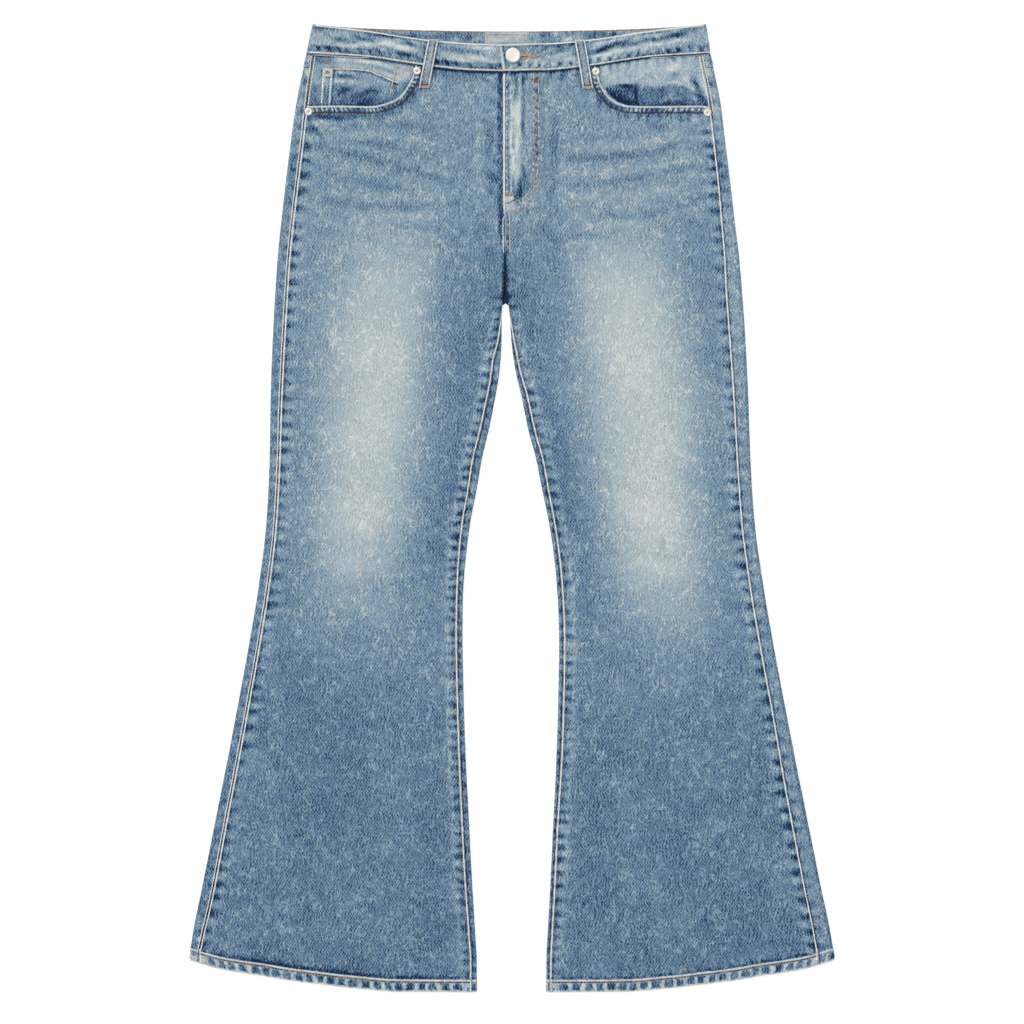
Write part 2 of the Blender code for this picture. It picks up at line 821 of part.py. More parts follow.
def pocket_facing(side):
    """The cloth behind the pocket mouth: tucked under the outseam strip and under the front."""
    sign = SIGN[side]
    sink = CLOTH + GAP + (TRIM_CLOTH + GAP if side == "right" else 0.0)
    outer, inner = [], []
    corner = mouth_corner(side)
    for row_share in FACING_ROWS:
        for grid, depth in ((outer, sink), (inner, sink + TRIM_CLOTH)):
            line = []
            for share in FACING_COLUMNS:
                x = corner
                for _ in range(4):  # the seam slants, so x and down settle together
                    upper = front_bottom(waist_share(x, WAIST_LEVEL)) + FACING_GAP
                    down = between(upper, front_top_edge(side, x) + FACING_BELOW, row_share)
                    seam = outer_edge(side, down) - sign * (outseam_inset[side](down) - FACING_TUCK)
                    x = between(seam, corner - sign * FACING_PAST_CORNER, share)
                line.append(place(x, down, top_height(side, x, down) - depth))
            grid.append(line)
    wall(f"pocket_facing_{side}", outer, inner, "facing_denim")


def coin_pocket():
    """Lies on the right facing and goes down under the front."""
    coin_top = curve(COIN["x"], COIN["down"])
    sink = CLOTH + GAP
    outer, inner = [], []
    for row_share in (0, 0.35, 0.7, 1):
        for grid, depth in ((outer, sink), (inner, sink + TRIM_CLOTH)):
            line = []
            for x in COIN["x"]:
                down = between(coin_top(x), front_top_edge("right", x) + COIN_BELOW, row_share)
                line.append(place(x, down, top_height("right", x, down) - depth))
            grid.append(line)
    wall("coin_pocket", outer, inner, "denim")


def fly_zip():
    outer, inner = [], []
    for down in ZIP_ROWS:
        for grid, rise in ((outer, GAP + TAPE_CLOTH), (inner, GAP)):
            grid.append([place(x, down, top_height("right", x, down) + rise) for x in ZIP_EDGES])
    wall("fly_zip", outer, inner, "zip_tape")


def front_belt_loop(side, name):
    """Sewn down at both ends and arched over the band between them."""
    top_x, top_down, low_x, low_down = FRONT_LOOPS[side]
    outer, inner = [], []
    for share, clearance in LOOP_ARCH:
        x = between(top_x, low_x, share)
        down = between(top_down, low_down, share)
        below = edge_height(down) + BAND_PROUD + GAP + clearance
        for grid, rise in ((outer, LOOP_CLOTH), (inner, 0.0)):
            grid.append([place(x + half, down, below + rise) for half in (-LOOP_WIDTH / 2, LOOP_WIDTH / 2)])
    wall(name, outer, inner, "denim")


def back_belt_loop(name, x):
    share = waist_share(x, WAIST_LEVEL)
    top = back_top(share) + 0.5
    corners = [(x - LOOP_WIDTH / 2, top), (x + LOOP_WIDTH / 2, top)]
    corners += [(px, top + BACK_LOOP_LENGTH) for px, _ in reversed(corners)]
    prism(name, corners, 0.0, POCKET_CLOTH, "denim")


def back_pocket(side):
    """A five-sided patch, its mouth along the yoke."""
    sign = SIGN[side]
    seam = seat_x(150)
    outline = [(seam + sign * across, down) for across, down in BACK_POCKET]
    prism(f"back_pocket_{side}", outline, 0.0, POCKET_CLOTH, "denim")


def waist_label():
    left, right, top, bottom = LABEL
    low = HIP_RAISE + BAND_CLOTH + GAP / 2
    prism("waist_label", [(left, top), (right, top), (right, bottom), (left, bottom)], low, low + LABEL_CLOTH,
          "label_cloth")


def waist_button():
    """Cap and shank in one: the shank passes through the buttonhole to the end of the band below."""
    below = band_face("right", BUTTON_X, BUTTON_DOWN) + GAP
    face = band_face("left", BUTTON_X, BUTTON_DOWN) + GAP
    neck = below - face
    profile = BUTTON_CAP + [(BUTTON_SHANK, 0), (BUTTON_SHANK, neck), (0, neck)]
    turned("waist_button", profile, BUTTON_X, BUTTON_DOWN, face, BUTTON_SIDES, "pale_metal")


def pocket_rivets():
    for name, (side, x, down) in RIVETS.items():
        seat = top_height(side, x, down) + GAP
        if down < front_bottom(waist_share(x, WAIST_LEVEL)) + RIVET_RADIUS:
            seat += BAND_PROUD
        turned(name, RIVET_PROFILE, x, down, seat, RIVET_SIDES, "pale_metal")


def main():
    clear_scene()
    for side in SIGN:
        back_panel(side)
        back_yoke(side)
        back_pocket(side)
        front_panel(side)
        pocket_facing(side)
        front_belt_loop(side, f"belt_loop_front_{side}")
    coin_pocket()
    waistband()
    fly_zip()
    for name, x in BACK_LOOPS.items():
        back_belt_loop(name, x)
    waist_label()
    waist_button()
    pocket_rivets()


main()
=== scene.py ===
"""Looks for the flared jeans, laid flat and face up on a pale floor.

Tables are in millimetres and the scene in metres, as in the construction: "right" and "left" are the
wearer's, so the right leg lies at -X. "down" is the distance below the highest point of the waist,
"across" the distance from the middle of the garment. "tone" is how faded the denim is, from 0, raw
indigo, to 1, bleached. Every piece of cloth is a thin closed shell on the form of its solid.
"""
import math

import bpy
import numpy as np
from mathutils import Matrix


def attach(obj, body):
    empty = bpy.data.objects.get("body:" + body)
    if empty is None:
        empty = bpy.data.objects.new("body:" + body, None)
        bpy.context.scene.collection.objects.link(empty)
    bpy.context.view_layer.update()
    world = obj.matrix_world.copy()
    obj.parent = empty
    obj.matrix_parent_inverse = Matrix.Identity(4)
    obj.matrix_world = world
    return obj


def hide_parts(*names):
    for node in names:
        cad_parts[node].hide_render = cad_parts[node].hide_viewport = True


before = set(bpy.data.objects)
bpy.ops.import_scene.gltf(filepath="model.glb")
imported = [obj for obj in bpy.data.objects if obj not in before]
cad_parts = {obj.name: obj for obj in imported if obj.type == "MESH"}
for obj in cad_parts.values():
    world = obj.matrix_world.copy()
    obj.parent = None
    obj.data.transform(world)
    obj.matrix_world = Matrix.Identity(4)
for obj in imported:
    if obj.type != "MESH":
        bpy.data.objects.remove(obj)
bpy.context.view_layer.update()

MM = 0.001
SIDES = ("right", "left")
SIGN = {"right": -1, "left": 1}

# ---------------------------------------------------------------- sizes shared with the construction
LENGTH = 1084.0
CLOTH = 1.2
HEM_CLOTH = 2.4
BAND_CLOTH = 2.2
TRIM_CLOTH = 1.0
POCKET_CLOTH = 1.2
LOOP_CLOTH = 1.6
GAP = 0.3
HALF_GAP = GAP / 2
HIP_RAISE = POCKET_CLOTH + GAP
HIP_RAISE_END = 268.0
HIP_RAISE_GONE = 300.0
FORK = 314.0
WAIST_LEVEL = 20.0
FLY_LIFT = 2.6
FLY_FLAT_TO = 28.0
FLY_LIFT_GONE = 42.0
FLY_END = 221.0
FLY_GONE = 246.0
ROLL_START = 245.0
ROLL_FULL = 262.0
ROLL_UNDER = math.radians(20)
BAND_PROUD = 0.3
BAND_LAP = 2.5  # the lapped end lies on the other
BAND_END_RIGHT = 24.6
BAND_END_LEFT = -14.2
BAND_END_SLANT = 4.0
BAND_END_TOP = 23.0
BAND_END_DROP = 31.0
BUTTON_X = 1.1
BUTTON_DOWN = 36.0
TOP_FADE = 160.0
HEM_FADE_START = 900.0
HEM_CORNER = 1048.0  # the hem at the outseam
HEM_LEVEL = 1070.0  # where shares along the hem are measured
HEM_START = 1060.0  # a first guess of a hem's place, before its curve
MOUTH_LEVEL = 50.0


def table(columns, *rows):
    return dict(zip(columns.split(), (np.array(column) for column in zip(*rows))))


OUTLINE = table(
    "down half lean",
    (0, 220.6, -3), (40, 228, -4), (85, 237.4, -4), (130, 243.6, -4.5), (175, 249.2, -4.5),
    (220, 254.3, -4.5), (265, 259.3, -4), (310, 262.7, -3.6), (355, 265.4, -3.3), (420, 268.2, -2.8),
    (490, 270, -2.2), (555, 273.8, -1.7), (620, 281.9, -1.1), (690, 293.4, -0.9), (755, 305.4, -0.8),
    (825, 318.8, -0.6), (890, 331.8, -0.6), (960, 345.8, -0.5), (1025, 358.8, -0.3), (1048, 361.7, 0),
    (1084, 361.7, 0),
)
INNER = table(
    "down half lean",
    (258, 0.2, -7.8), (285, 1.2, -7.6), (312, 3.2, -7.4), (320, 3.9, -7.2), (354, 5.1, -6.2),
    (388, 8.6, -5), (421, 15.1, -3.9), (455, 21.9, -3.9), (488, 30.2, -3.4), (522, 36.4, -2.9),
    (555, 43.1, -2.7), (589, 48.1, -2.3), (623, 51.5, -2.1), (656, 53.2, -1.7), (690, 53.8, -1.3),
    (757, 52.6, -1.1), (824, 50.4, -1), (891, 47, -0.9), (959, 43.7, -0.8), (1026, 39.8, -0.6),
    (1048, 38.6, -0.5), (1084, 38.6, -0.5),
)
OUTSEAM = table(
    "down right left",
    (34, 8.4, 11.8), (90, 12, 11.9), (150, 13.4, 12.2), (230, 12.9, 14), (310, 12.9, 16.8),
    (533, 10.5, 13.4), (645, 11, 14.1), (757, 11.5, 14.3), (869, 12.1, 16.8), (981, 13.2, 17.9),
    (1048, 10, 17.9),
)
INSEAM = table(
    "down right left",
    (316, -5.4, -5.4), (353, 0, -1), (364, 2.2, 0), (376, 4.7, 0.6), (421, 5.6, 2.8), (488, 6.3, 3.6),
    (578, 4.7, 2.3), (645, 3.1, 2.3), (802, 3.3, 2.3), (914, 4, 1.1), (1048, 2.9, 1.1),
)
HEM = table(
    "share down",
    (0, 1048), (0.05, 1053), (0.1, 1057.5), (0.175, 1062), (0.26, 1066), (0.34, 1070.5), (0.45, 1075),
    (0.57, 1079.5), (0.73, 1083.5), (1, 1084),
)
WAIST = table(
    "share front_top back_top front_bottom back_bottom",
    (0, 23, 7.8, 54, 39.8), (0.2, 21.2, 7.4, 52.5, 39.4), (0.4, 17.3, 6.5, 47.8, 38.6),
    (0.72, 7, 4.2, 37.6, 36.8), (1, 0, 0, 33.6, 33.6),
)
YOKE = table("share down", (0, 98.6), (0.25, 86), (0.5, 72), (0.75, 59), (0.93, 50.5), (1, 48.7))
SEAT = table("down x", (30, -4), (200, -4.5), (316, -7.4))
FRONT_EDGE = table(
    "down right left",
    (50, 24.6, -10.1), (175, 23, -10.1), (196, 14, -10.1), (206, 4, -9.8), (213, -4, -9),
    (219, -8.55, -8.2), (258, -8, -7.6),
)
MOUTH = {
    "right": table(
        "across down",
        (103.5, 46), (105.7, 54.9), (113.6, 71.7), (123.1, 82.9), (138.2, 89.6), (152.8, 92.4),
        (195.3, 91.8), (226.7, 92.4),
    ),
    "left": table(
        "across down",
        (97.5, 47), (99.2, 53), (102, 64), (109.3, 78), (120.5, 87.8), (134, 91.8), (159.7, 92.4),
        (214.6, 91.8), (225.8, 93.5),
    ),
}
HEIGHT = table(
    "down edge swell",
    (0, 7.2, 0), (90, 7.2, 0), (150, 6.9, 0.1), (215, 6.5, 0.2), (262, 6.2, 0.3), (316, 5.6, 0.5),
    (400, 5.3, 0.6), (1000, 5.3, 0.6), (1036, 5.5, 0.3), (1084, 5.5, 0),
)
FOLDS = table(
    "side across down length width turn height",
    ("right", 118, 176, 74, 13, 16, 0.55),
    ("right", 96, 214, 66, 12, 24, -0.5),
    ("right", 70, 252, 52, 12, 34, 0.45),
    ("left", 122, 170, 80, 14, 14, 0.5),
    ("left", 92, 220, 60, 11, 26, -0.45),
    ("left", 66, 250, 56, 13, 36, 0.5),
    ("right", 160, 560, 60, 22, 12, -0.4),
    ("left", 150, 590, 52, 20, -14, -0.4),
    ("right", 215, 850, 150, 24, 84, 0.35),
    ("left", 225, 880, 140, 26, 82, 0.35),
    ("right", 265, 960, 110, 22, 80, -0.4),
    ("left", 120, 960, 120, 24, 96, -0.35),
)
RIVETS = {
    "rivet_right_inner": ("right", -106.2, 52.8),
    "rivet_right_outer": ("right", -227.8, 98.3),
    "rivet_left_inner": ("left", 93.8, 53.4),
    "rivet_left_outer": ("left", 218.8, 99.3),
}
FRONT_LOOPS = {"right": (-87.9, 17.6, -98.6, 72.2), "left": (75.7, 17.9, 85.1, 72.8)}
BACK_LOOPS = {"belt_loop_back_right": -134.0, "belt_loop_back_centre": -4.0, "belt_loop_back_left": 126.0}
BACK_POCKET = np.array([(44, 116), (196, 98), (190, 236), (119, 260), (54, 243)], float)


# ---------------------------------------------------------------- functions on numbers
def curve(keys, values):
    """A smooth function through a table's points that never overshoots them."""
    keys, values = np.array(keys, float), np.array(values, float)
    steps = np.diff(keys)
    slopes = np.diff(values) / steps
    product = slopes[:-1] * slopes[1:]
    total = np.where(product > 0, slopes[:-1] + slopes[1:], 1.0)
    middle = np.where(product > 0, 2 * product / total, 0.0)
    tangents = np.concatenate([slopes[:1], middle, slopes[-1:]])

    def at(key):
        key = np.clip(key, keys[0], keys[-1])
        i = np.clip(np.searchsorted(keys, key, side="right") - 1, 0, len(steps) - 1)
        t = (key - keys[i]) / steps[i]
        rest = 1 - t
        ends = values[i] * rest * rest * (1 + 2 * t) + values[i + 1] * t * t * (3 - 2 * t)
        return ends + steps[i] * t * rest * (tangents[i] * rest - tangents[i + 1] * t)

    return at


def ease(value, start, end):
    t = np.clip((np.asarray(value, float) - start) / (end - start), 0.0, 1.0)
    return t * t * (3 - 2 * t)


def between(a, b, share):
    return a + (b - a) * share


def bell(value, width, power=2):
    return np.exp(-((value / width) ** power))


def rim(distance, radius):
    """How far a rounded edge has dropped at a distance in from it."""
    off = np.clip(radius - distance, 0, radius)
    return radius - np.sqrt(radius * radius - off * off)


def patchy(a, b, size, seed):
    """Smooth noise from -1 to 1, its patches about `size` across."""
    grid = np.random.default_rng(seed).uniform(-1, 1, (64, 64))
    u, v = np.broadcast_arrays(np.asarray(a, float) / size, np.asarray(b, float) / size)
    i, j = np.floor(u).astype(int), np.floor(v).astype(int)
    s, t = u - i, v - j
    s, t = s * s * (3 - 2 * s), t * t * (3 - 2 * t)
    upper = between(grid[i % 64, j % 64], grid[(i + 1) % 64, j % 64], s)
    lower = between(grid[i % 64, (j + 1) % 64], grid[(i + 1) % 64, (j + 1) % 64], s)
    return between(upper, lower, t)


def puckers(along, pitch, seed):
    """Uneven waves along a seam: towards 1 on each ridge and -1 in each hollow."""
    rng = np.random.default_rng(seed)
    count = int(1500 / pitch)
    places = np.cumsum(pitch * rng.uniform(0.7, 1.3, count)) - 3 * pitch
    strength = rng.uniform(0.45, 1.0, count)
    phase = np.interp(along, places, np.arange(count))
    return -np.cos(2 * np.pi * phase) * np.interp(phase, np.arange(count), strength)


def curves(rows):
    """A curve for each further column of a table, over its first."""
    keys, *columns = rows.values()
    return [curve(keys, column) for column in columns]


outer_half, lean = curves(OUTLINE)
inner_half, inner_lean = curves(INNER)
outseam_inset = dict(zip(SIDES, curves(OUTSEAM)))
inseam_past = dict(zip(SIDES, curves(INSEAM)))
front_edge = dict(zip(SIDES, curves(FRONT_EDGE)))
mouth_down = {side: curves(MOUTH[side])[0] for side in SIDES}
[hem_down] = curves(HEM)
front_top, back_top, front_bottom, back_bottom = curves(WAIST)
[yoke_seam] = curves(YOKE)
[seat_x] = curves(SEAT)
edge_height, swell = curves(HEIGHT)


def underside(down):
    return HIP_RAISE * (1 - ease(down, HIP_RAISE_END, HIP_RAISE_GONE))


def outer_edge(side, down):
    return SIGN[side] * outer_half(down) + lean(down)


def inner_edge(side, down):
    return SIGN[side] * inner_half(down) + inner_lean(down)


def waist_share(x):
    return np.minimum(np.abs(x - lean(WAIST_LEVEL)) / outer_half(WAIST_LEVEL), 1.0)


def band_foot(x):
    """The lower edge of the waistband's front."""
    return front_bottom(waist_share(x))


def hills(rows, side, x, down, column):
    """Sum of soft ridges and troughs: each a bell along and across a line laid at an angle."""
    total = 0.0
    middle = lean(down)
    names = list(rows)
    for values in zip(*rows.values()):
        row = dict(zip(names, values))
        if row["side"] != side:
            continue
        out = SIGN[side] * (x - middle) - float(row["across"])
        low = down - float(row["down"])
        angle = math.radians(float(row["turn"]))
        along = out * math.cos(angle) - low * math.sin(angle)
        off = out * math.sin(angle) + low * math.cos(angle)
        shape = np.exp(-((along / float(row["length"])) ** 2) - (off / float(row["width"])) ** 2)
        total = total + float(row[column]) * shape
    return total


def fly_lift(side, x, down):
    if side == "right":
        return 0.0
    return FLY_LIFT * (1 - ease(x, FLY_FLAT_TO, FLY_LIFT_GONE)) * (1 - ease(down, FLY_END, FLY_GONE))


def top_height(side, x, down):
    sign = SIGN[side]
    calm = ease(sign * (outer_edge(side, down) - x), 4, 34) * ease(down, 96, 140)
    inner_calm = ease(sign * (x - inner_edge(side, np.maximum(down, ROLL_FULL))), 4, 34)
    calm = calm * between(1.0, inner_calm, ease(down, FLY_END, ROLL_START))
    return (
        edge_height(down) + calm * (swell(down) + hills(FOLDS, side, x, down, "height"))
        + fly_lift(side, x, down)
    )


def bend(travel, radius, curl, depth):
    curl = np.asarray(curl, float)
    straight = (curl == 0) | (travel <= 0)
    swing = radius / np.where(curl == 0, 1.0, curl)
    angle = np.minimum(np.where(straight, 0.0, travel) / swing, math.pi)
    back = travel - angle * swing
    across = (swing - depth) * np.sin(angle) - back
    sink = swing - (swing - depth) * np.cos(angle)
    return np.where(straight, travel, across), np.where(straight, depth, sink)


def fold_radius(down):
    return (edge_height(down) - underside(down)) / 2


def back_place(side, down, zone, share, depth):
    sign = SIGN[side]
    radius = fold_radius(down)
    half_turn = math.pi * radius
    floor = underside(down)
    outer_start = outer_edge(side, down) - sign * radius
    forked = down > FORK
    inner_end = np.where(forked, inner_edge(side, down), seat_x(down) + sign * HALF_GAP)
    inner_start = inner_end + sign * radius
    if zone == "under":
        return between(outer_start, inner_start, share), floor + depth
    if zone == "inner":
        run = np.where(forked, half_turn + inseam_past[side](down) - HALF_GAP, radius)
        travel = run * share
        across, sink = bend(travel, radius, np.where(forked, 1, 0), depth)
        x = inner_start - sign * across
    else:
        strip = outseam_inset[side](down) - radius - HALF_GAP
        travel = half_turn + strip * share if zone == "strip" else half_turn * share
        across, sink = bend(travel, radius, 1, depth)
        x = outer_start + sign * across
    return x, np.where(travel > half_turn, top_height(side, x, down) - depth, floor + sink)


def front_span(side, down):
    sign = SIGN[side]
    radius = fold_radius(down)
    curl = ease(down, ROLL_START, ROLL_FULL)
    end = np.where(down <= INNER["down"][0], front_edge[side](down), inner_edge(side, down))
    part = radius * (np.arcsin(curl) / np.maximum(curl, 1e-9) + ROLL_UNDER * ease(curl, 0.93, 1.0))
    past = np.where(down > FORK, -inseam_past[side](down) - HALF_GAP, np.where(curl == 0, radius, part))
    return end + sign * radius, radius, curl, past


def front_width(side, down):
    start, _, _, past = front_span(side, down)
    seam = outer_edge(side, down) - SIGN[side] * (outseam_inset[side](down) + HALF_GAP)
    return past + SIGN[side] * (seam - start)


def front_place(side, down, from_edge, depth):
    start, radius, curl, past = front_span(side, down)
    travel = past - from_edge
    across, sink = bend(travel, radius, curl, depth)
    x = start - SIGN[side] * across
    flat = (travel <= 0) | (curl == 0)
    return x, np.where(flat, top_height(side, x, down) - depth, top_height(side, start, down) - sink)


def leg_share(side, x, down):
    outer = outer_edge(side, down)
    return np.clip((x - outer) / (inner_edge(side, down) - outer), 0.0, 1.0)


def hem_edge(side, x, down=HEM_LEVEL):
    return hem_down(leg_share(side, x, down))


def level(row, top, first, side, x):
    to_top = (top - first) * (1 - ease(row, first, first + TOP_FADE))
    to_hem = (hem_edge(side, x, row) - HEM_CORNER) * ease(row, HEM_FADE_START, HEM_CORNER)
    return row + to_top + to_hem


def place(x, down, height):
    return np.stack(np.broadcast_arrays(x * MM, (LENGTH / 2 - down) * MM, height * MM), -1)


def on(surface, side, down, *where):
    """Points on a surface, such as front_place, at a place and depth in it."""
    x, height = surface(side, down, *where)
    return place(x, down, height)


def line_on(surface, side, down, *where):
    """Points at a depth in a surface, and the normals out of it."""
    *spot, depth = where
    low = on(surface, side, down, *spot, depth)
    return low, (on(surface, side, down, *spot, depth - 1.0) - low) / MM


# ---------------------------------------------------------------- meshes
def mesh_object(name, points, faces, tone, rust=None, sharp=50):
    """One object from points (N, 3) in metres and faces (M, 4).

    A face whose last corner is repeated is a triangle.
    """
    points = np.ascontiguousarray(points, dtype=np.float32)
    faces = np.asarray(faces, dtype=np.int32)
    a, b, c, d = (points[faces[:, k]] for k in range(4))
    volume = np.einsum("ij,ij->", a, np.cross(b, c)) + np.einsum("ij,ij->", a, np.cross(c, d))
    if volume < 0:
        faces = faces[:, ::-1] if (faces[:, 2] != faces[:, 3]).all() else faces[:, [2, 1, 0, 0]]
    triangles = faces[:, 2] == faces[:, 3]
    if triangles.all():
        faces = faces[:, :3]
    elif triangles.any():
        raise ValueError("mixed faces in " + name)
    sides = faces.shape[1]
    mesh = bpy.data.meshes.new(name)
    mesh.vertices.add(len(points))
    mesh.vertices.foreach_set("co", points.ravel())
    mesh.loops.add(faces.size)
    mesh.loops.foreach_set("vertex_index", faces.ravel())
    mesh.polygons.add(len(faces))
    mesh.polygons.foreach_set("loop_start", np.arange(0, faces.size, sides, dtype=np.int32))
    mesh.update(calc_edges=True)
    for label, values in (("tone", tone), ("rust", rust)):
        if values is not None:
            spread = np.broadcast_to(np.asarray(values, np.float32), (len(points),))
            mesh.attributes.new(label, "FLOAT", "POINT").data.foreach_set("value",
                    np.ascontiguousarray(spread))
    mesh.shade_smooth()
    mesh.set_sharp_from_angle(angle=math.radians(sharp))
    made = bpy.data.objects.new(name, mesh)
    bpy.context.scene.collection.objects.link(made)
    return made


def shell(name, outer, inner, tone, inner_tone=0.5, rust=0.0, inner_rust=0.0):
    """A closed sheet between two grids of points (rows, columns, 3)."""
    rows, columns = outer.shape[:2]
    count = rows * columns
    index = np.arange(count).reshape(rows, columns)
    quads = np.stack([index[:-1, :-1], index[1:, :-1], index[1:, 1:], index[:-1, 1:]], -1).reshape(-1, 4)
    rim_loop = np.concatenate([index[0, :-1], index[:-1, -1], index[-1, :0:-1], index[:0:-1, 0]])
    after = np.roll(rim_loop, -1)
    sides = np.stack([rim_loop, after, after + count, rim_loop + count], -1)
    faces = np.concatenate([quads, quads[:, ::-1] + count, sides])
    points = np.concatenate([outer.reshape(-1, 3), inner.reshape(-1, 3)])

    def both(first, second):
        grids = (np.broadcast_to(np.asarray(v, float), (rows, columns)).ravel() for v in (first, second))
        return np.concatenate(list(grids))

    return mesh_object(name, points, faces, both(tone, inner_tone), both(rust, inner_rust))


def declare(piece, material, slot, *nodes):
    piece.data.materials.clear()
    piece.data.materials.append(material)
    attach(piece, "root")
    if nodes:
        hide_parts(*nodes)
    return piece


# Stitches: each a small capsule of thread, joined into one mesh a group
RING = 5
THREADS = {}
UP = (0.0, 0.0, 1.0)
BENEATH = (0.0, 0.0, -1.0)


def capsule():
    turn = np.arange(RING) * 2 * np.pi / RING + np.pi / 2
    ring = np.stack([np.zeros(RING), np.cos(turn), 0.5 * np.sin(turn) + 0.35], -1)
    left, right = ring + (-0.6, 0, 0), ring + (0.6, 0, 0)
    points = np.concatenate([[(-1, 0, -0.1)], left, right, [(1, 0, -0.1)]])
    faces = []
    for k in range(RING):
        n = (k + 1) % RING
        faces += [(0, 1 + n, 1 + k), (2 * RING + 1, 1 + RING + k, 1 + RING + n)]
        faces += [(1 + k, 1 + n, 1 + RING + n), (1 + k, 1 + RING + n, 1 + RING + k)]
    return points, np.array(faces)


CAPSULE = capsule()


def sew(group, path, up, pitch=3.0, length=2.5, width=0.8, height=0.55, tone=0.9, vary=0.12, across=0.0,
        slip=0.0):
    """Stitches along a path (N, 3), lying against the normals `up`.

    across turns each one by that many degrees.
    """
    up = np.broadcast_to(up, path.shape)
    steps = np.linalg.norm(np.diff(path, axis=0), axis=1)
    run = np.concatenate([[0.0], np.cumsum(steps)])
    count = max(int(run[-1] / (pitch * MM)), 1)
    number = len(THREADS.setdefault(group, []))
    rng = np.random.default_rng([sum(map(ord, group)), number])
    at = (np.arange(count) + 0.5 + rng.uniform(-slip, slip, count)) * run[-1] / count

    def along(values, where):
        return np.stack([np.interp(where, run, values[:, k]) for k in range(3)], -1)

    half = 0.45 * pitch * MM
    centre = along(path, at)
    forward = along(path, np.minimum(at + half, run[-1])) - along(path, np.maximum(at - half, 0))
    forward /= np.maximum(np.linalg.norm(forward, axis=1, keepdims=True), 1e-12)
    normal = along(up, at)
    normal /= np.linalg.norm(normal, axis=1, keepdims=True)
    beside = np.cross(normal, forward)
    beside /= np.linalg.norm(beside, axis=1, keepdims=True)
    turn = np.radians(across + rng.normal(0, 4 if across else 2.5, count))[:, None]
    forward, beside = (forward * np.cos(turn) + beside * np.sin(turn),
                       beside * np.cos(turn) - forward * np.sin(turn))
    points, _ = CAPSULE
    size = rng.uniform(0.9, 1.1, (count, 1, 1))
    made = centre[:, None] + size * points[None, :, 0:1] * forward[:, None] * (length / 2 * MM)
    made = made + points[None, :, 1:2] * beside[:, None] * (width / 2 * MM)
    made = made + points[None, :, 2:3] * normal[:, None] * (height * MM)
    shade = np.repeat(tone + rng.uniform(-vary, vary, count), len(points))
    THREADS[group].append((made.reshape(-1, 3), shade))


def thread_objects(material):
    points, faces = CAPSULE
    for group, parts in THREADS.items():
        spots = np.concatenate([part[0] for part in parts])
        shade = np.concatenate([part[1] for part in parts])
        offsets = np.arange(len(spots) // len(points)) * len(points)
        corners = (faces[None] + offsets[:, None, None]).reshape(-1, 3)
        made = mesh_object(group, spots, corners[:, [0, 1, 2, 2]], shade, sharp=80)
        declare(made, material, "denim")


# ---------------------------------------------------------------- denim: how faded and how creased
BASE_TONE = table(
    "down tone",
    (0, 0.56), (130, 0.56), (215, 0.53), (300, 0.48), (600, 0.455), (700, 0.42), (820, 0.39), (1084, 0.365),
)
# The bleached thighs: middle line, half width and strength
THIGH = {
    "right": table(
        "down across width strength",
        (180, 124, 70, 0), (232, 131, 66, 0.15), (300, 142, 64, 0.4), (400, 151, 62, 0.46),
        (535, 166, 56, 0.46), (600, 172, 55, 0.31), (650, 175, 60, 0.22), (700, 176, 70, 0.06),
        (760, 176, 80, 0),
    ),
    "left": table(
        "down across width strength",
        (170, 104, 70, 0), (232, 114, 66, 0.17), (300, 129, 66, 0.42), (400, 144, 68, 0.47),
        (535, 158, 60, 0.48), (600, 166, 58, 0.41), (650, 172, 60, 0.28), (710, 176, 72, 0.09),
        (790, 178, 84, 0),
    ),
}
# Whiskers and creases of the fronts: place, half length, half width, turn, lightness and rise
CREASES = table(
    "side across down length width turn light rise",
    ("right", 176, 604, 60, 9.0, 4, 0.05, 0.25),
    ("right", 150, 628, 54, 9.0, -8, -0.05, -0.30),
    ("right", 190, 646, 44, 8.0, 10, 0.04, 0.20),
    ("left", 170, 612, 58, 9.0, -6, 0.05, 0.25),
    ("left", 150, 640, 50, 8.0, 10, -0.05, -0.30),
    ("left", 196, 662, 46, 8.0, -4, 0.04, 0.20),
    ("right", 262, 760, 60, 8.0, 78, 0.05, 0.25),
    ("right", 150, 800, 90, 9.0, 88, 0.03, 0.20),
    ("right", 240, 900, 80, 10.0, 80, -0.03, -0.25),
    ("right", 120, 940, 90, 9.0, 94, 0.03, 0.20),
    ("left", 268, 740, 60, 8.0, 80, 0.05, 0.25),
    ("left", 130, 820, 90, 9.0, 92, 0.03, 0.20),
    ("left", 230, 930, 80, 10.0, 82, -0.03, -0.25),
    ("left", 300, 960, 60, 9.0, 76, 0.04, 0.25),
)
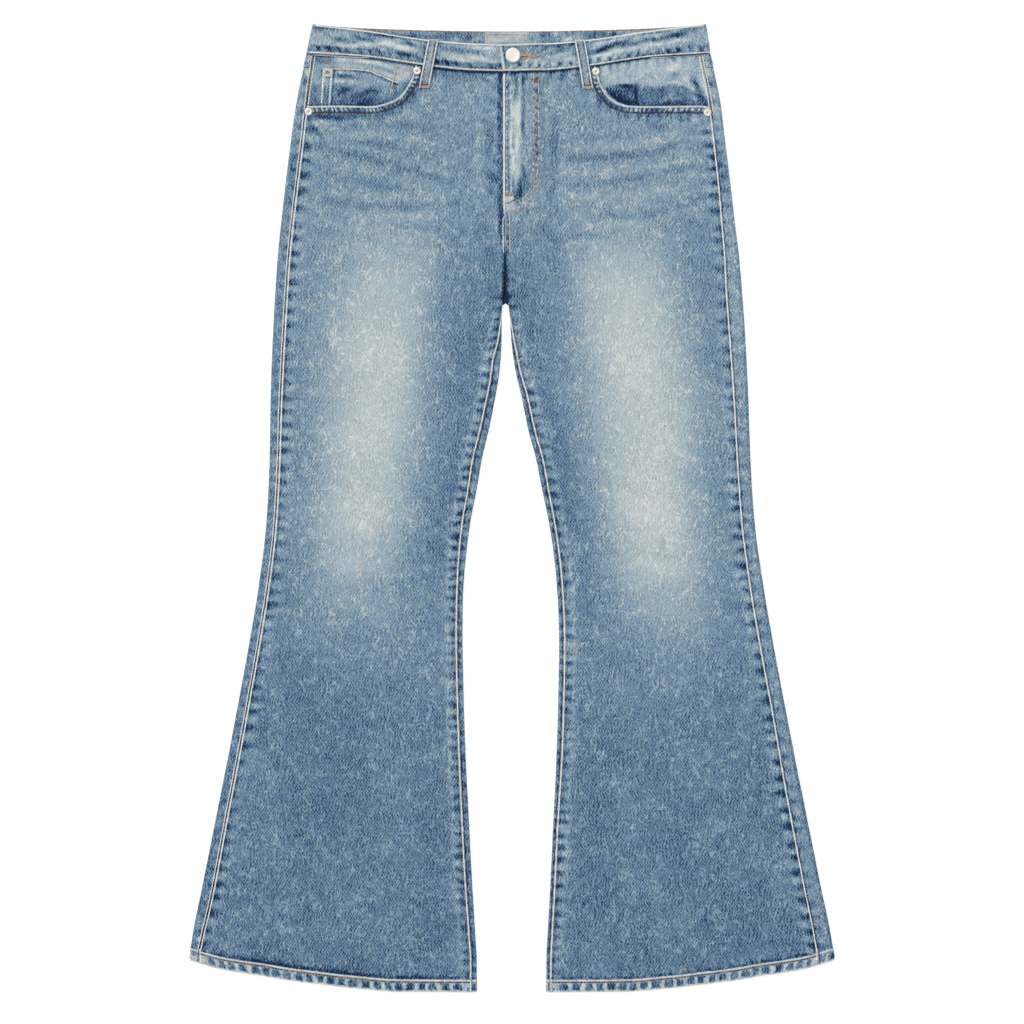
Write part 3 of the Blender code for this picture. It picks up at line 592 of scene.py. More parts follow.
# Whiskers of the hips, and the drag lines at the pockets and the fly
WHISKERS = {
    "right": (
        (-0.13, 4.0, (-222, 137), (-159, 149.5), (-108, 166), (-64, 177.5)),
        (-0.09, 4.0, (-181, 131), (-142, 135.5), (-114, 143.5), (-80, 152)),
        (-0.08, 4.0, (-198, 116.5), (-160, 114), (-120, 114.5), (-86, 118)),
        (-0.12, 4.5, (-238, 196), (-181, 202.5), (-125, 206), (-56, 200.5)),
        (-0.06, 4.0, (-204, 172.5), (-159, 179), (-103, 192.5)),
        (0.09, 5.0, (-226, 151), (-165, 163), (-92, 186)),
        (0.07, 4.0, (-220, 186), (-148, 192.5), (-70, 190)),
        (0.07, 4.0, (-204, 127), (-137, 126), (-70, 135.5)),
        (-0.09, 5.0, (-131, 226), (-70, 229.5), (-28, 243)),
        (0.08, 2.6, (-131, 253), (-97, 254), (-42, 251)),
        (-0.24, 3.0, (-231.5, 104), (-223, 116.5), (-212, 129)),
        (0.16, 3.0, (-235, 108), (-232, 122), (-224, 134)),
        (0.18, 3.0, (-224, 102.5), (-198, 119)),
        (-0.2, 2.6, (-222, 104.6), (-180, 107)),
        (-0.2, 5.0, (-29, 100), (-26, 141), (-20, 188)),
        (0.1, 5.0, (-40, 135), (-34, 198)),
        (-0.11, 7.0, (-41, 208), (-31, 236), (-24, 262)),
        (0.1, 2.4, (-92, 74), (-74, 96), (-68, 112)),
        (0.08, 2.4, (-100, 82), (-90, 104)),
        (-0.07, 4.0, (-235, 232), (-190, 236), (-150, 246)),
    ),
    "left": (
        (-0.13, 4.0, (54, 152), (104, 149), (160, 143.5), (197, 134)),
        (-0.1, 4.0, (59, 184), (104, 180), (143, 171), (188, 162), (224, 155)),
        (-0.12, 4.5, (98, 214), (149, 214), (194, 200), (227, 193.5)),
        (-0.09, 4.0, (48, 243), (82, 238.5), (132, 232)),
        (0.09, 5.0, (54, 139), (121, 135.5), (199, 118.5)),
        (0.09, 5.0, (56, 167), (138, 163.5), (227, 148)),
        (0.08, 5.0, (59, 197), (138, 192.5), (199, 180)),
        (-0.24, 2.6, (184, 106), (206, 111)),
        (0.22, 2.8, (194, 111), (219, 102.5)),
        (0.2, 3.6, (224, 102), (226, 146)),
        (-0.13, 6.0, (46, 90), (47.5, 141), (43.5, 216)),
        (-0.09, 8.0, (36, 220), (49, 264), (61, 306)),
        (0.1, 3.0, (26, 226), (44, 250), (60, 262)),
        (-0.08, 4.0, (130, 110), (180, 117), (224, 124)),
        (0.08, 2.4, (92, 78), (98, 100)),
        (-0.07, 4.0, (190, 226), (232, 218)),
    ),
}
# Streaks of the waistband's front
BAND_STREAKS = (
    (-0.24, 3.2, (-206, 22), (-190, 17), (-174, 14)),
    (-0.22, 3.0, (-194, 25), (-160, 15), (-144, 13.5)),
    (-0.36, 2.4, (-160, 28.5), (-140, 27.5), (-126, 33), (-104, 36)),
    (-0.24, 2.6, (-150, 11), (-132, 13.5), (-112, 17)),
    (-0.3, 2.6, (-122, 19.5), (-98, 26)),
    (-0.16, 2.8, (-84, 25.5), (-56, 31.5), (-17, 35.5)),
    (0.2, 3.6, (-84, 34), (-56, 38.5), (-20, 41)),
    (0.2, 3.0, (-76, 22), (-40, 26), (-18, 28)),
    (0.1, 3.0, (-202, 30), (-160, 21.5), (-118, 27)),
    (0.1, 2.6, (-150, 20), (-110, 29)),
    (-0.3, 2.2, (-214, 12), (-196, 17), (-170, 20)),
    (-0.26, 2.0, (-186, 8), (-160, 19), (-140, 20)),
    (-0.34, 2.6, (84, 36), (114, 26), (144, 19.5), (172, 15.5)),
    (-0.28, 2.4, (93, 30), (124, 20), (156, 11)),
    (-0.3, 2.6, (130, 24.5), (170, 15.5), (202, 13)),
    (-0.3, 3.0, (168, 14.5), (212, 6.5)),
    (-0.34, 3.0, (36, 36), (66, 26)),
    (-0.26, 2.4, (34, 28.5), (70, 21)),
    (0.17, 2.6, (90, 24), (130, 15), (190, 8)),
    (0.2, 4.0, (58, 39), (110, 33), (182, 24)),
    (0.16, 3.0, (30, 42), (64, 33)),
)
# Creases of the backs: under the seat, behind the knees and down the flares
BACK_CREASES = table(
    "side across down length width turn light rise",
    ("right", 110, 286, 66, 7.0, -12, 0.08, 0.3),
    ("right", 96, 306, 60, 7.0, -16, -0.07, -0.35),
    ("right", 130, 322, 54, 6.0, -10, 0.06, 0.25),
    ("right", 170, 540, 50, 7.0, 14, 0.09, 0.3),
    ("right", 150, 562, 56, 7.0, -10, -0.08, -0.4),
    ("right", 180, 584, 48, 6.0, 16, 0.09, 0.3),
    ("right", 150, 606, 52, 7.0, -8, -0.07, -0.35),
    ("right", 200, 860, 100, 9.0, 84, 0.04, 0.2),
    ("left", 116, 290, 62, 7.0, -14, 0.08, 0.3),
    ("left", 100, 312, 58, 7.0, -18, -0.07, -0.35),
    ("left", 126, 330, 50, 6.0, -8, 0.06, 0.25),
    ("left", 164, 534, 52, 7.0, -12, 0.09, 0.3),
    ("left", 150, 556, 54, 7.0, 12, -0.08, -0.4),
    ("left", 176, 580, 50, 6.0, -14, 0.09, 0.3),
    ("left", 156, 600, 50, 7.0, 10, -0.07, -0.35),
    ("left", 220, 880, 100, 9.0, 82, 0.04, 0.2),
)
[base_tone] = curves(BASE_TONE)
thigh = {side: curves(rows) for side, rows in THIGH.items()}


def thigh_fade(side, x, down):
    across, width, strength = thigh[side]
    off = np.abs(SIGN[side] * (x - lean(down)) - across(down)) / width(down)
    return strength(down) * bell(off, 1, 2.8)


def seam_marks(distance, along, pitch, reach, seed, dark=0.3, lift=0.3):
    """Tone and relief of the puckers beside a seam: dark ovals about `reach` long, lighter between."""
    off = np.maximum(distance, 0) / reach
    wave = puckers(along + 1.6 * patchy(distance, along, 8, seed + 40), pitch, seed)
    even = 0.8 + 0.4 * patchy(along, along * 0, 60, seed + 80)
    hollow = ease(-1.3 * wave - (1.25 * (off - 0.36)) ** 2, 0.0, 0.6)
    ridge = ease(wave, -0.1, 0.6) * bell(0.8 * off, 1)
    return even * dark * (0.7 * ridge - hollow), even * wave * lift * bell(off, 1)


def strokes(rows, x, down):
    """Soft creases along drawn lines: each row is a lightness, a half width and points (x, down)."""
    total = 0.0 * (x + down)
    for number, (light, width, *line) in enumerate(rows):
        keys, values = np.array(line, float).T
        along, off = x, down
        if abs(keys[-1] - keys[0]) < abs(values[-1] - values[0]):
            keys, values, along, off = values, keys, down, x
        order = np.argsort(keys)
        keys = keys[order]
        along = along + 0 * total
        near = (off - curve(keys, values[order])(along)
                - 0.5 * width * patchy(along, 0 * along, 9, 300 + number)) / width
        taper = min(14.0, 0.4 * (keys[-1] - keys[0]))
        ends = (ease(along, keys[0] - 0.5 * taper, keys[0] + taper)
                * (1 - ease(along, keys[-1] - taper, keys[-1] + 0.5 * taper)))
        uneven = 1 + 0.45 * patchy(along, 0 * along, 15, 340 + number)
        total = total + light * ends * uneven * (bell(near, 1) - 0.3 * bell(np.abs(near) - 2.0, 1))
    return total


def mouth_path(side, count=240):
    across = np.linspace(MOUTH[side]["across"][0], MOUTH[side]["across"][-1], count * 4)
    down = mouth_down[side](across)
    run = np.concatenate([[0.0], np.cumsum(np.hypot(np.diff(across), np.diff(down)))])
    at = np.linspace(0, run[-1], count)
    return lean(MOUTH_LEVEL) + SIGN[side] * np.interp(at, run, across), np.interp(at, run, down), at


def mouth_distance(side, x, down):
    px, pd, _ = mouth_path(side, 120)
    near = (np.abs(down) < 140).ravel()
    out = np.full(near.shape, 999.0)
    gaps = np.hypot(x.ravel()[near, None] - px, down.ravel()[near, None] - pd)
    out[near] = gaps.min(axis=1)
    return out.reshape(x.shape)


def loop_shade(x, down):
    """Where the front belt loops shade the cloth beside them."""
    shade = 0.0
    for top_x, top_down, low_x, low_down in FRONT_LOOPS.values():
        middle = between(top_x, low_x, (down - top_down) / (low_down - top_down))
        shade = shade + bell(np.abs(x - middle) - 7.2, 2.0) * (1 - ease(down, low_down - 1, low_down + 5))
    return shade


def front_look(side, x, down, inner_d, outer_d):
    """Tone and relief of a front at points x, down, with their distances from its two side edges."""
    sign = SIGN[side]
    tone = base_tone(down) + thigh_fade(side, x, down)
    tone = tone - 0.14 * bell(inner_d, 34) * ease(down, 210, 300) * (1 - ease(down, 520, 680))
    tone = tone - 0.09 * bell(inner_d - 64, 24) * ease(down, 190, 240) * (1 - ease(down, 370, 430))
    tone = (
        tone + 0.05 * bell(inner_d - 6.5, 4.0) * ease(down, 300, 340)
        + 0.12 * bell(inner_d - 6.5, 4.5) * bell(down - 430, 130)
    )
    tone = tone + (0.15 * bell(inner_d - 11.8, 2.4) + 0.03 * bell(inner_d - 16, 6)) * ease(down, 300, 340)
    tone = tone + 0.07 * bell(outer_d - 10.5, 3.5) * ease(down, 200, 260)
    tone = tone - 0.2 * bell(outer_d, 12) * bell(down - 162, 34)
    tone = tone + 0.035 * patchy(x, down, 46, 3) + 0.02 * patchy(x, down, 21, 4)
    sway = 5 * patchy(x, down, 36, 12)
    whisker = strokes(WHISKERS[side], x, down)
    tone = tone + 1.25 * hills(CREASES, side, x, down + sway, "light") + whisker
    relief = (
        1.2 * hills(CREASES, side, x, down + sway, "rise") + 2.4 * whisker + 0.12 * patchy(x, down, 30, 5)
    )
    hem_gap = hem_edge(side, x, down) - down

    below_hip = ease(down, 96, 130)
    marks, lifts = seam_marks(outer_d - 1.5, down, 16.0, 11.5, 11 + sign, 0.3, 0.42)
    tone = tone + marks * below_hip
    relief = relief + lifts * below_hip
    marks, lifts = seam_marks(inner_d - 3.0, down, 13.0, 9.5, 21 + sign, 0.3, 0.4)
    legs = ease(down, 262, 330)
    tone = tone + marks * legs
    relief = relief + lifts * legs
    # Seam edges: worn light on the fold; the groove beside the stitches is darkened with painted shade
    tone = tone + 0.34 * bell(outer_d, 1.3) * below_hip + 0.3 * bell(inner_d, 1.2) * legs
    tone = tone - 0.2 * bell(outer_d - 3.6, 1.0) * below_hip - 0.16 * bell(inner_d - 4.4, 1.0) * legs
    relief = relief + 0.25 * bell(outer_d - 1.2, 1.6) + 0.2 * bell(inner_d - 1.2, 1.6) * legs

    # Just above the hem
    wavy_gap = hem_gap - 15.2 - patchy(x, down * 0, 9, 32)
    tone = tone - 0.3 * bell(wavy_gap, 1.3) * (0.7 + 0.5 * patchy(x, down * 0, 7, 31))
    marks, lifts = seam_marks(np.abs(hem_gap - 13), x, 11.0, 8.0, 33, 0.2, 0.25)
    tone = tone + marks * (1 - ease(hem_gap, 14, 34))
    relief = relief + lifts * (1 - ease(hem_gap, 14, 34))

    # Under the band: puckers, a painted shadow right under its edge, and painted shade beside the belt
    # loops
    under = down - band_foot(x) - GAP
    marks, lifts = seam_marks(under, x + 0.5 * under, 13.0, 12.0, 41 + sign, 0.2, 0.35)
    clear = 1 - ease(under, 20, 44)
    tone = tone + (marks - 0.75 * bell(under, 2.0)) * clear - 0.2 * loop_shade(x, down) * clear
    relief = relief + lifts * clear
    # Under the pocket mouth: puckers, and a line of painted shade just below the welt's edge
    gap = mouth_distance(side, x, down)
    marks, lifts = seam_marks(np.maximum(gap - 8, 0), x, 12.0, 9.0, 51 + sign, 0.24, 0.3)
    close = 1 - ease(gap, 16, 34)
    tone = tone + (marks - 0.15 * bell(gap - 10.4, 1.8)) * close
    relief = relief + lifts * close
    # painted shade in the slit between the two fronts at the crotch, where the cloth is taken to near black
    slit_shade = ease(down, 240, 272) * (1 - ease(down, 309, 316))
    tone = between(tone, -0.1, slit_shade * bell(inner_d, 1.6 + 2.4 * slit_shade, 4))
    fly_tone, fly_relief = fly_look(side, x, down, inner_d)
    return tone + fly_tone, relief + fly_relief


# Streaks of the fly placket, over the zip: x, from, to, half width, lightness, rise
FLY_STREAKS = table(
    "x start end width light rise",
    (-0.4, 60, 196, 2.2, 0.24, 0.3),
    (-4.0, 58, 200, 0.9, -0.3, -0.3),
    (2.6, 78, 198, 1.0, -0.34, -0.35),
    (0.6, 84, 176, 2.6, 0.2, 0.3),
    (5.8, 88, 186, 2.4, 0.34, 0.4),
    (8.4, 56, 100, 1.8, 0.26, 0.3),
    (9.4, 96, 184, 1.6, 0.2, 0.2),
    (4.6, 54, 84, 2.2, -0.3, -0.3),
    (11.8, 56, 128, 1.2, -0.36, -0.4),
    (13.4, 120, 190, 1.4, -0.2, -0.3),
    (15.6, 62, 170, 1.8, 0.16, 0.25),
    (18.6, 60, 110, 1.2, -0.2, -0.25),
    (20.6, 66, 174, 1.8, 0.14, 0.2),
    (17.6, 110, 168, 1.2, -0.16, -0.2),
    (10.0, 170, 204, 3.4, -0.34, -0.3),
    (17.0, 166, 190, 4.0, -0.24, -0.3),
    (35.0, 60, 176, 2.6, -0.12, -0.25),
    (39.5, 70, 170, 3.0, 0.06, 0.2),
)


def fly_look(side, x, down, inner_d):
    tone = relief = np.zeros_like(x)
    if side == "left":
        for px, start, end, width, light, rise in zip(*FLY_STREAKS.values()):
            sway = 1.6 * patchy(down, down * 0, 26, int(px) + 60)
            shape = (bell(x - px - sway, width) * ease(down, start - 6, start + 8)
                     * (1 - ease(down, end - 14, end + 8)))
            tone = tone + light * shape * (1 + 0.5 * patchy(x, down, 9, int(px) + 90))
            relief = relief + rise * shape
        on_fly = 1 - ease(down, 208, 218)
        tone = tone + 0.1 * bell(x - 1, 10, 4) * on_fly * ease(down, 62, 84)
        knots = puckers(down + 0.5 * x, 9.0, 69) * bell(x + 3.0, 5.0) * on_fly
        tone = tone + 0.2 * knots
        relief = relief + 0.15 * knots
        tone = tone + on_fly * (0.42 * bell(inner_d, 2.0, 4) - 0.3 * bell(inner_d - 3.0, 0.6))
        relief = relief + on_fly * (0.35 * bell(inner_d - 1.4, 1.6) - 0.3 * bell(inner_d - 3.1, 0.8))
        line = bell(x - 27.2, 1.7) * (1 - ease(down, 150, 190)) * ease(down, 52, 60)
        tone = tone - 0.4 * line * (0.5 + 1.2 * puckers(down, 9.5, 66))
        relief = relief - 0.3 * line
    else:
        # painted shadow of the left front's raised fly edge, on the right front beside it
        shade = bell(x + 12.6, 2.6) * (1 - ease(down, 214, 250))
        tone = tone - 0.5 * shade
        tone = (
            tone + 0.14 * bell(x + 20, 6.0) * puckers(down - 0.7 * x, 16.0, 67) * (1 - ease(down, 190, 215))
        )
    seam = ease(down, 206, 220) * (1 - ease(down, 250, 268))
    tone = tone + seam * (0.26 * bell(inner_d, 1.0) - 0.14 * bell(inner_d - 3.4, 1.8))
    tone = tone + seam * 0.4 * puckers(down, 4.6, 68) * bell(inner_d - 3.2, 1.6)
    if side == "left":
        box = bell(x + 2.6, 6.4, 6) * bell(down - 200, 9.4, 6)
        tone = between(tone, 0.5 + 0.2 * patchy(x, down, 4, 70), 0.8 * box)
        tone = tone - 0.8 * bell(x - 4.2, 1.7) * bell(down - 195, 5.0)
        inside = bell(x - 14, 5.0) * bell(down - 199, 5.5)
        tone = tone + 0.3 * inside - 0.3 * bell(x - 9, 2.2) * bell(down - 188, 12)
    return tone, relief


# ---------------------------------------------------------------- the fronts
EDGE_RUNS = np.array([0, 0.1, 0.3, 0.6, 1, 1.6, 2.4, 3.2, 4.4, 5.6, 6.6, 8, 9.6, 11.5, 13.5, 16, 19, 22.5,
                      26, 30, 34, 38, 42, 46, 50])
MIDDLE_SHARES = np.linspace(0, 1, 16)[1:-1]
MOUTH_TOP = np.array([0, 0.03, 0.09, 0.18, 0.3, 0.45, 0.7, 1])
MOUTH_LOW = np.array([0, 0.14, 0.28, 0.42, 0.56, 0.7, 0.85, 1])
LAST_STRETCH = np.concatenate([np.linspace(0, 0.9, 13), [0.93, 0.955, 0.975, 0.988, 0.995, 0.998, 1]])


def mouth_shares():
    at = np.concatenate([np.linspace(0, 6, 36, endpoint=False), 6 + LAST_STRETCH])
    return np.interp(at, np.arange(8), MOUTH_TOP), np.interp(at, np.arange(8), MOUTH_LOW)


SHARE_TOP, SHARE_LOW = mouth_shares()
COLUMNS = len(EDGE_RUNS) + len(MIDDLE_SHARES) + len(SHARE_TOP)
FRONT_FIRST = 45.0
FRONT_ROWS = np.concatenate([
    FRONT_FIRST + np.array([0, 0.1, 0.3, 0.6, 1.1, 1.8, 2.8, 4, 5.4, 7, 8.6, 10.4, 12.6]),
    np.arange(60.5, 1030, 3.0),
    [1031.5, 1033.2, 1035, 1037.5, 1040, 1042.5, 1045, 1047],
])[:, None]


def mouth_corner(side):
    return lean(MOUTH_LEVEL) + SIGN[side] * MOUTH[side]["across"][0]


def front_top_edge(side, x):
    across = SIGN[side] * (x - lean(MOUTH_LEVEL))
    band = band_foot(x) + GAP
    return np.where(across <= MOUTH[side]["across"][0], band, np.maximum(mouth_down[side](across), band))


def front_columns(side, row):
    row = np.broadcast_to(row, (len(row), COLUMNS))
    far = EDGE_RUNS[-1]
    top_down = front_bottom(0.4)
    corner_run = SIGN[side] * (mouth_corner(side) - front_edge[side](top_down)) - far
    corner_share = corner_run / (front_width(side, top_down) - far)
    width = front_width(side, row)
    corner = far + (width - far) * corner_share
    e, m = len(EDGE_RUNS), len(EDGE_RUNS) + len(MIDDLE_SHARES)
    places = np.empty(row.shape)
    places[:, :e] = EDGE_RUNS
    places[:, e:m] = between(far, corner[:, e:m], MIDDLE_SHARES)
    shares = between(SHARE_TOP, SHARE_LOW, ease(row[:, m:], 100, 240))
    places[:, m:] = between(corner[:, m:], width[:, m:], shares)
    return places


def front_panel(side):
    first = np.array([[FRONT_FIRST]])
    top_x, _ = front_place(side, first, front_columns(side, first), 0.0)
    tops = front_top_edge(side, top_x)
    x, _ = front_place(side, FRONT_ROWS, front_columns(side, FRONT_ROWS), 0.0)
    down = level(FRONT_ROWS, tops, FRONT_FIRST, side, x)
    at = np.where(FRONT_ROWS < HEM_FADE_START, front_columns(side, down), front_columns(side, FRONT_ROWS))
    width = front_width(side, down)
    at = np.minimum(at, width)
    x, _ = front_place(side, down, at, 0.0)
    tone, relief = front_look(side, x, down, at, width - at)
    edge = rim(np.minimum(np.minimum(down - tops, width - at), at) + 0 * at, 0.55)
    outer = on(front_place, side, down, at, edge - relief)
    inner = on(front_place, side, down, at, CLOTH - edge - relief)
    return shell(f"jeans_front_{side}", outer, inner, tone, 0.62)


def front_line(side, down, from_edge, lift=0.0):
    """Points and normals on a front's face, a set distance in from its inner edge."""
    x, _ = front_place(side, down, from_edge, 0.0)
    width = front_width(side, down)
    _, relief = front_look(side, x, down, from_edge + 0 * down, width - from_edge)
    return line_on(front_place, side, down, from_edge, -relief - lift)


def face_line(side, x, down, lift=0.0):
    """Points and normals on the flat part of a front."""
    x, down = np.broadcast_arrays(np.asarray(x, float), np.asarray(down, float))
    inner_d = SIGN[side] * (x - front_edge[side](down))
    outer_d = SIGN[side] * (outer_edge(side, down) - x) - outseam_inset[side](down)
    _, relief = front_look(side, x, down, inner_d, outer_d)
    points = place(x, down, top_height(side, x, down) + relief + lift)
    return points, UP


def smooth_path(corners, count=160):
    """A rounded path through corners (x, down)."""
    corners = np.asarray(corners, float)
    run = np.concatenate([[0.0], np.cumsum(np.hypot(*np.diff(corners, axis=0).T))])
    at = np.linspace(0, run[-1], count)
    return curve(run, corners[:, 0])(at), curve(run, corners[:, 1])(at)


# ---------------------------------------------------------------- the backs
BACK_FIRST = 49.0
BACK_ROWS = np.concatenate([
    BACK_FIRST + np.array([0, 0.3, 0.8, 1.8, 3.2, 5, 7.5, 10.5]),
    np.arange(63, 1031, 3.2),
    [1033.2, 1036, 1040, 1044, 1047],
])
STRIP_SHARES = [1, 0.99, 0.97, 0.93, 0.86, 0.76, 0.64, 0.5, 0.34, 0.17]
BACK_COLUMNS = (
    [("strip", share) for share in STRIP_SHARES]
    + [("outer", share) for share in np.linspace(1, 0, 11)]
    + [("under", share) for share in np.linspace(0, 1, 34)[1:-1]]
    + [("inner", share) for share in (0, 0.1, 0.2, 0.3, 0.4, 0.5, 0.6, 0.7, 0.8, 0.88, 0.94, 0.98, 1)]
)


def back_look(side, zone, x, down, outer_run, inner_run):
    """Tone and relief of a back.

    outer_run and inner_run are distances from its two seams along the cloth.
    """
    tone = base_tone(down) - 0.03 + 0.03 * patchy(x, down, 44, 7) + 0.03 * patchy(x, down, 20, 8)
    sign = SIGN[side]
    on_back = 1.0 if zone == "under" else 0.0
    across = sign * (x - lean(down))
    seat = bell(across - 115, 80) * bell(down - 190, 90)
    calf = bell(across - 175, 70) * bell(down - 700, 120)
    tone = tone + on_back * (0.2 * seat + 0.1 * calf + hills(BACK_CREASES, side, x, down, "light"))
    relief = on_back * hills(BACK_CREASES, side, x, down, "rise") + 0.1 * patchy(x, down, 28, 9)
    marks, lifts = seam_marks(outer_run, down, 15.5, 8.0, 11 + sign, 0.17, 0.25)
    tone, relief = tone + marks, relief + lifts
    marks, lifts = seam_marks(inner_run, down, 12.5, 9.0, 71 + sign, 0.2, 0.25)
    tone, relief = tone + marks, relief + lifts
    if zone == "strip":
        tone = tone + (0.05 if side == "right" else 0.14) - 0.24 * bell(down - 165, 36)
        tone = (
            between(tone, 0.84, bell(down - 55, 4.6, 6)) - 0.8 * bell(down - 61, 1.5)
            - 0.3 * bell(down - 67, 2.6)
        )
    if zone == "inner":
        tone = tone + 0.08 * ease(down, 480, 660)
    tone = tone - 0.3 * bell(outer_run, 1.1) - 0.36 * bell(inner_run, 1.5)
    gap = hem_edge(side, x, down) - down
    tone = tone - 0.12 * bell(gap - 15.4, 1.6)
    return tone, relief


def back_run(side, zone, share, down):
    """Distances along the cloth from the outseam and from the inseam or seat seam."""
    radius = fold_radius(down)
    half_turn = math.pi * radius
    strip = outseam_inset[side](down) - radius - HALF_GAP
    forked = down > FORK
    inner_end = np.where(forked, inner_edge(side, down), seat_x(down))
    flat = np.abs(outer_edge(side, down) - inner_end) - 2 * radius
    inner = np.where(forked, half_turn + inseam_past[side](down), radius)
    total = strip + half_turn + flat + inner
    run = {"strip": strip * (1 - share), "outer": strip + half_turn * (1 - share),
           "under": strip + half_turn + flat * share, "inner": total - inner * (1 - share)}[zone]
    return run, np.maximum(total - run, 0)


def back_panel(side):
    lines = [[], [], [], []]
    for zone, share in BACK_COLUMNS:
        x, _ = back_place(side, BACK_ROWS, zone, share, 0.0)
        from_middle = {"under": 1 - share, "inner": 0.0}.get(zone, 1.0)
        top = yoke_seam(from_middle) + HALF_GAP
        down = level(BACK_ROWS, top, BACK_FIRST, side, x)
        x, _ = back_place(side, down, zone, share, 0.0)
        outer_run, inner_run = back_run(side, zone, share, down)
        tone, relief = back_look(side, zone, x, down, outer_run, inner_run)
        if zone != "strip":
            relief = np.minimum(relief - 0.3, 0.0) + 0.3 * (down < HIP_RAISE_END) * (zone == "under")
        # painted shade on the inside of the back, where it shows through the slit between the fronts
        slit_shade = bell(x + 4, 16, 4) * ease(down, 222, 236) * (1 - ease(down, 316, 322))
        edge = rim(np.minimum(down - top, np.minimum(outer_run, inner_run)), 0.55)
        lines[0].append(on(back_place, side, down, zone, share, edge - relief))
        lines[1].append(on(back_place, side, down, zone, share, CLOTH - edge - relief))
        lines[2].append(tone)
        lines[3].append(0.62 - 0.75 * slit_shade)
    outer, inner, tone, inner_tone = (np.stack(line, 1) for line in lines)
    return shell(f"jeans_back_{side}", outer, inner, tone, inner_tone)


def back_yoke(side):
    zones = (
        [c for c in BACK_COLUMNS if c[0] != "inner"]
        + [("inner", 0), ("inner", 0.5), ("inner", 0.9), ("inner", 1)]
    )
    rows = np.concatenate([[0, 0.004, 0.012, 0.03, 0.06], np.linspace(0.1, 0.9, 16),
                           [0.94, 0.97, 0.988, 0.996, 1]])
    outer, inner, tones = [], [], []
    for zone, share in zones:
        out = {"under": 1 - share, "inner": 0.0}.get(zone, 1.0)
        upper = back_bottom(out) + GAP
        if zone == "strip":
            x, _ = back_place(side, upper, zone, share, 0.0)
            upper = band_foot(x) + GAP
        lower = yoke_seam(out) - HALF_GAP
        down = between(upper, lower, rows)
        x, _ = back_place(side, down, zone, share, 0.0)
        outer_run, inner_run = back_run(side, zone, share, down)
        tone, relief = back_look(side, zone, x, down, outer_run, inner_run)
        below = lower - down
        if zone == "strip":
            tone = tone + 0.1 * bell(below - 9, 5)
        # the light ridge above the yoke seam is wear; the dark line right under the band is painted shade
        tone = tone + 0.2 * bell(below - 1.5, 1.4) - 0.3 * bell(below, 0.7) - 0.14 * bell(down - upper, 2.0)
        relief = np.clip(relief + 0.3 * bell(below - 3.5, 4.0), -0.4, 0.3)
        edge = rim(np.minimum(np.minimum(down - upper, below), np.minimum(outer_run, inner_run)), 0.5)
        outer.append(on(back_place, side, down, zone, share, edge - relief))
        inner.append(on(back_place, side, down, zone, share, CLOTH - edge - relief))
        tones.append(tone)
    outer, inner, tone = (np.stack(line, 1) for line in (outer, inner, tones))
    return shell(f"jeans_yoke_{side}", outer, inner, tone, 0.62)


# ---------------------------------------------------------------- the hems
HEM_LINES = np.array([-0.2, -0.12, 0.1, 0.5, 1.1, 2.0, 3.1, 4.3, 5.5, 6.7, 7.9, 9.0, 9.8, 10.5, 11.2, 11.9,
                      12.6, 13.2, 13.6])
HEM_STITCH = 10.6


def hem_look(along, rise):
    """Tone, relief and rust of the turned hem: rise is the distance up from its lower edge."""
    slant = along - 0.1 * rise + 1.5 * patchy(along, rise, 5, 90)
    wave = puckers(slant, 12.2, 91)
    cells = ease(-wave, -0.6, 0.0) * ease(rise, 0.5, 2.2) * (1 - ease(rise, 8.6, 9.8))
    tone = 0.86 + 0.16 * patchy(along, rise, 4, 92) - (0.64 + 0.12 * patchy(along, rise, 15, 93)) * cells
    inside = ease(rise, 0.4, 1.6) * (1 - ease(rise, 8.8, 9.8))
    worn = 1 - ease(rise + 0.7 * patchy(along, rise, 5, 94), 0.3, 1.9)
    tone = between(tone, 0.97, worn)
    ridge = np.minimum(1.3 * bell(rise - 12.5 - 0.5 * patchy(along, rise * 0, 6, 96), 1.2), 1)
    tone = between(tone, 1.05 + 0.15 * patchy(along, rise, 10, 95), ridge)
    tone = tone - 0.4 * bell(rise - HEM_STITCH, 1.1) * (0.8 + 0.5 * patchy(along, rise * 0, 4, 97))
    relief = 0.25 + 0.32 * wave * inside + 0.2 * bell(rise - 12.2, 0.9) - 0.4 * bell(rise - HEM_STITCH, 0.8)
    rust = 0.3 * bell(rise - HEM_STITCH, 1.0)
    return tone, relief, rust


def ragged(x, rise):
    """How far the worn lower edge has frayed back."""
    return 0.55 * (patchy(x, 0 * x, 7, 98) + 0.6 * patchy(x, 0 * x, 3, 99)) * (1 - ease(rise, 1.0, 5.0))


def hem_front(side):
    share = np.linspace(0, 1, 210)[None, :]
    rise = HEM_LINES[:, None]
    x = between(inner_edge(side, HEM_START), outer_edge(side, HEM_START), share)
    for _ in range(3):
        down = hem_edge(side, x) - rise - ragged(x, rise)
        width = front_width(side, down)
        at = between(0.0, width, share)
        x, _ = front_place(side, down, at, 0.0)
    tone, relief, rust = hem_look(at + 0 * rise, rise + 0 * at)
    ends = np.minimum(at, width - at)
    cell = 1 - ease(ends, 8, 10) * (1 - ease(rise, 12, 13))
    tone = between(tone, 0.84 - 0.3 * bell(ends - 9, 1.0),
                   cell * ease(rise, 0.5, 2) * (1 - ease(rise, 9, 10)))
    edge = rim(rise + 0.2 + 0 * at, 1.1)
    edge = np.maximum(edge, rim(ends, 0.5))
    fade = ease(rise, 13.6, 12.6) + 0 * at
    outer = on(front_place, side, down, at, edge - relief * fade)
    inner = on(front_place, side, down, at, HEM_CLOTH - np.minimum(edge, 0.95))
    return shell(f"hem_front_{side}", outer, inner, tone, 0.5, rust)


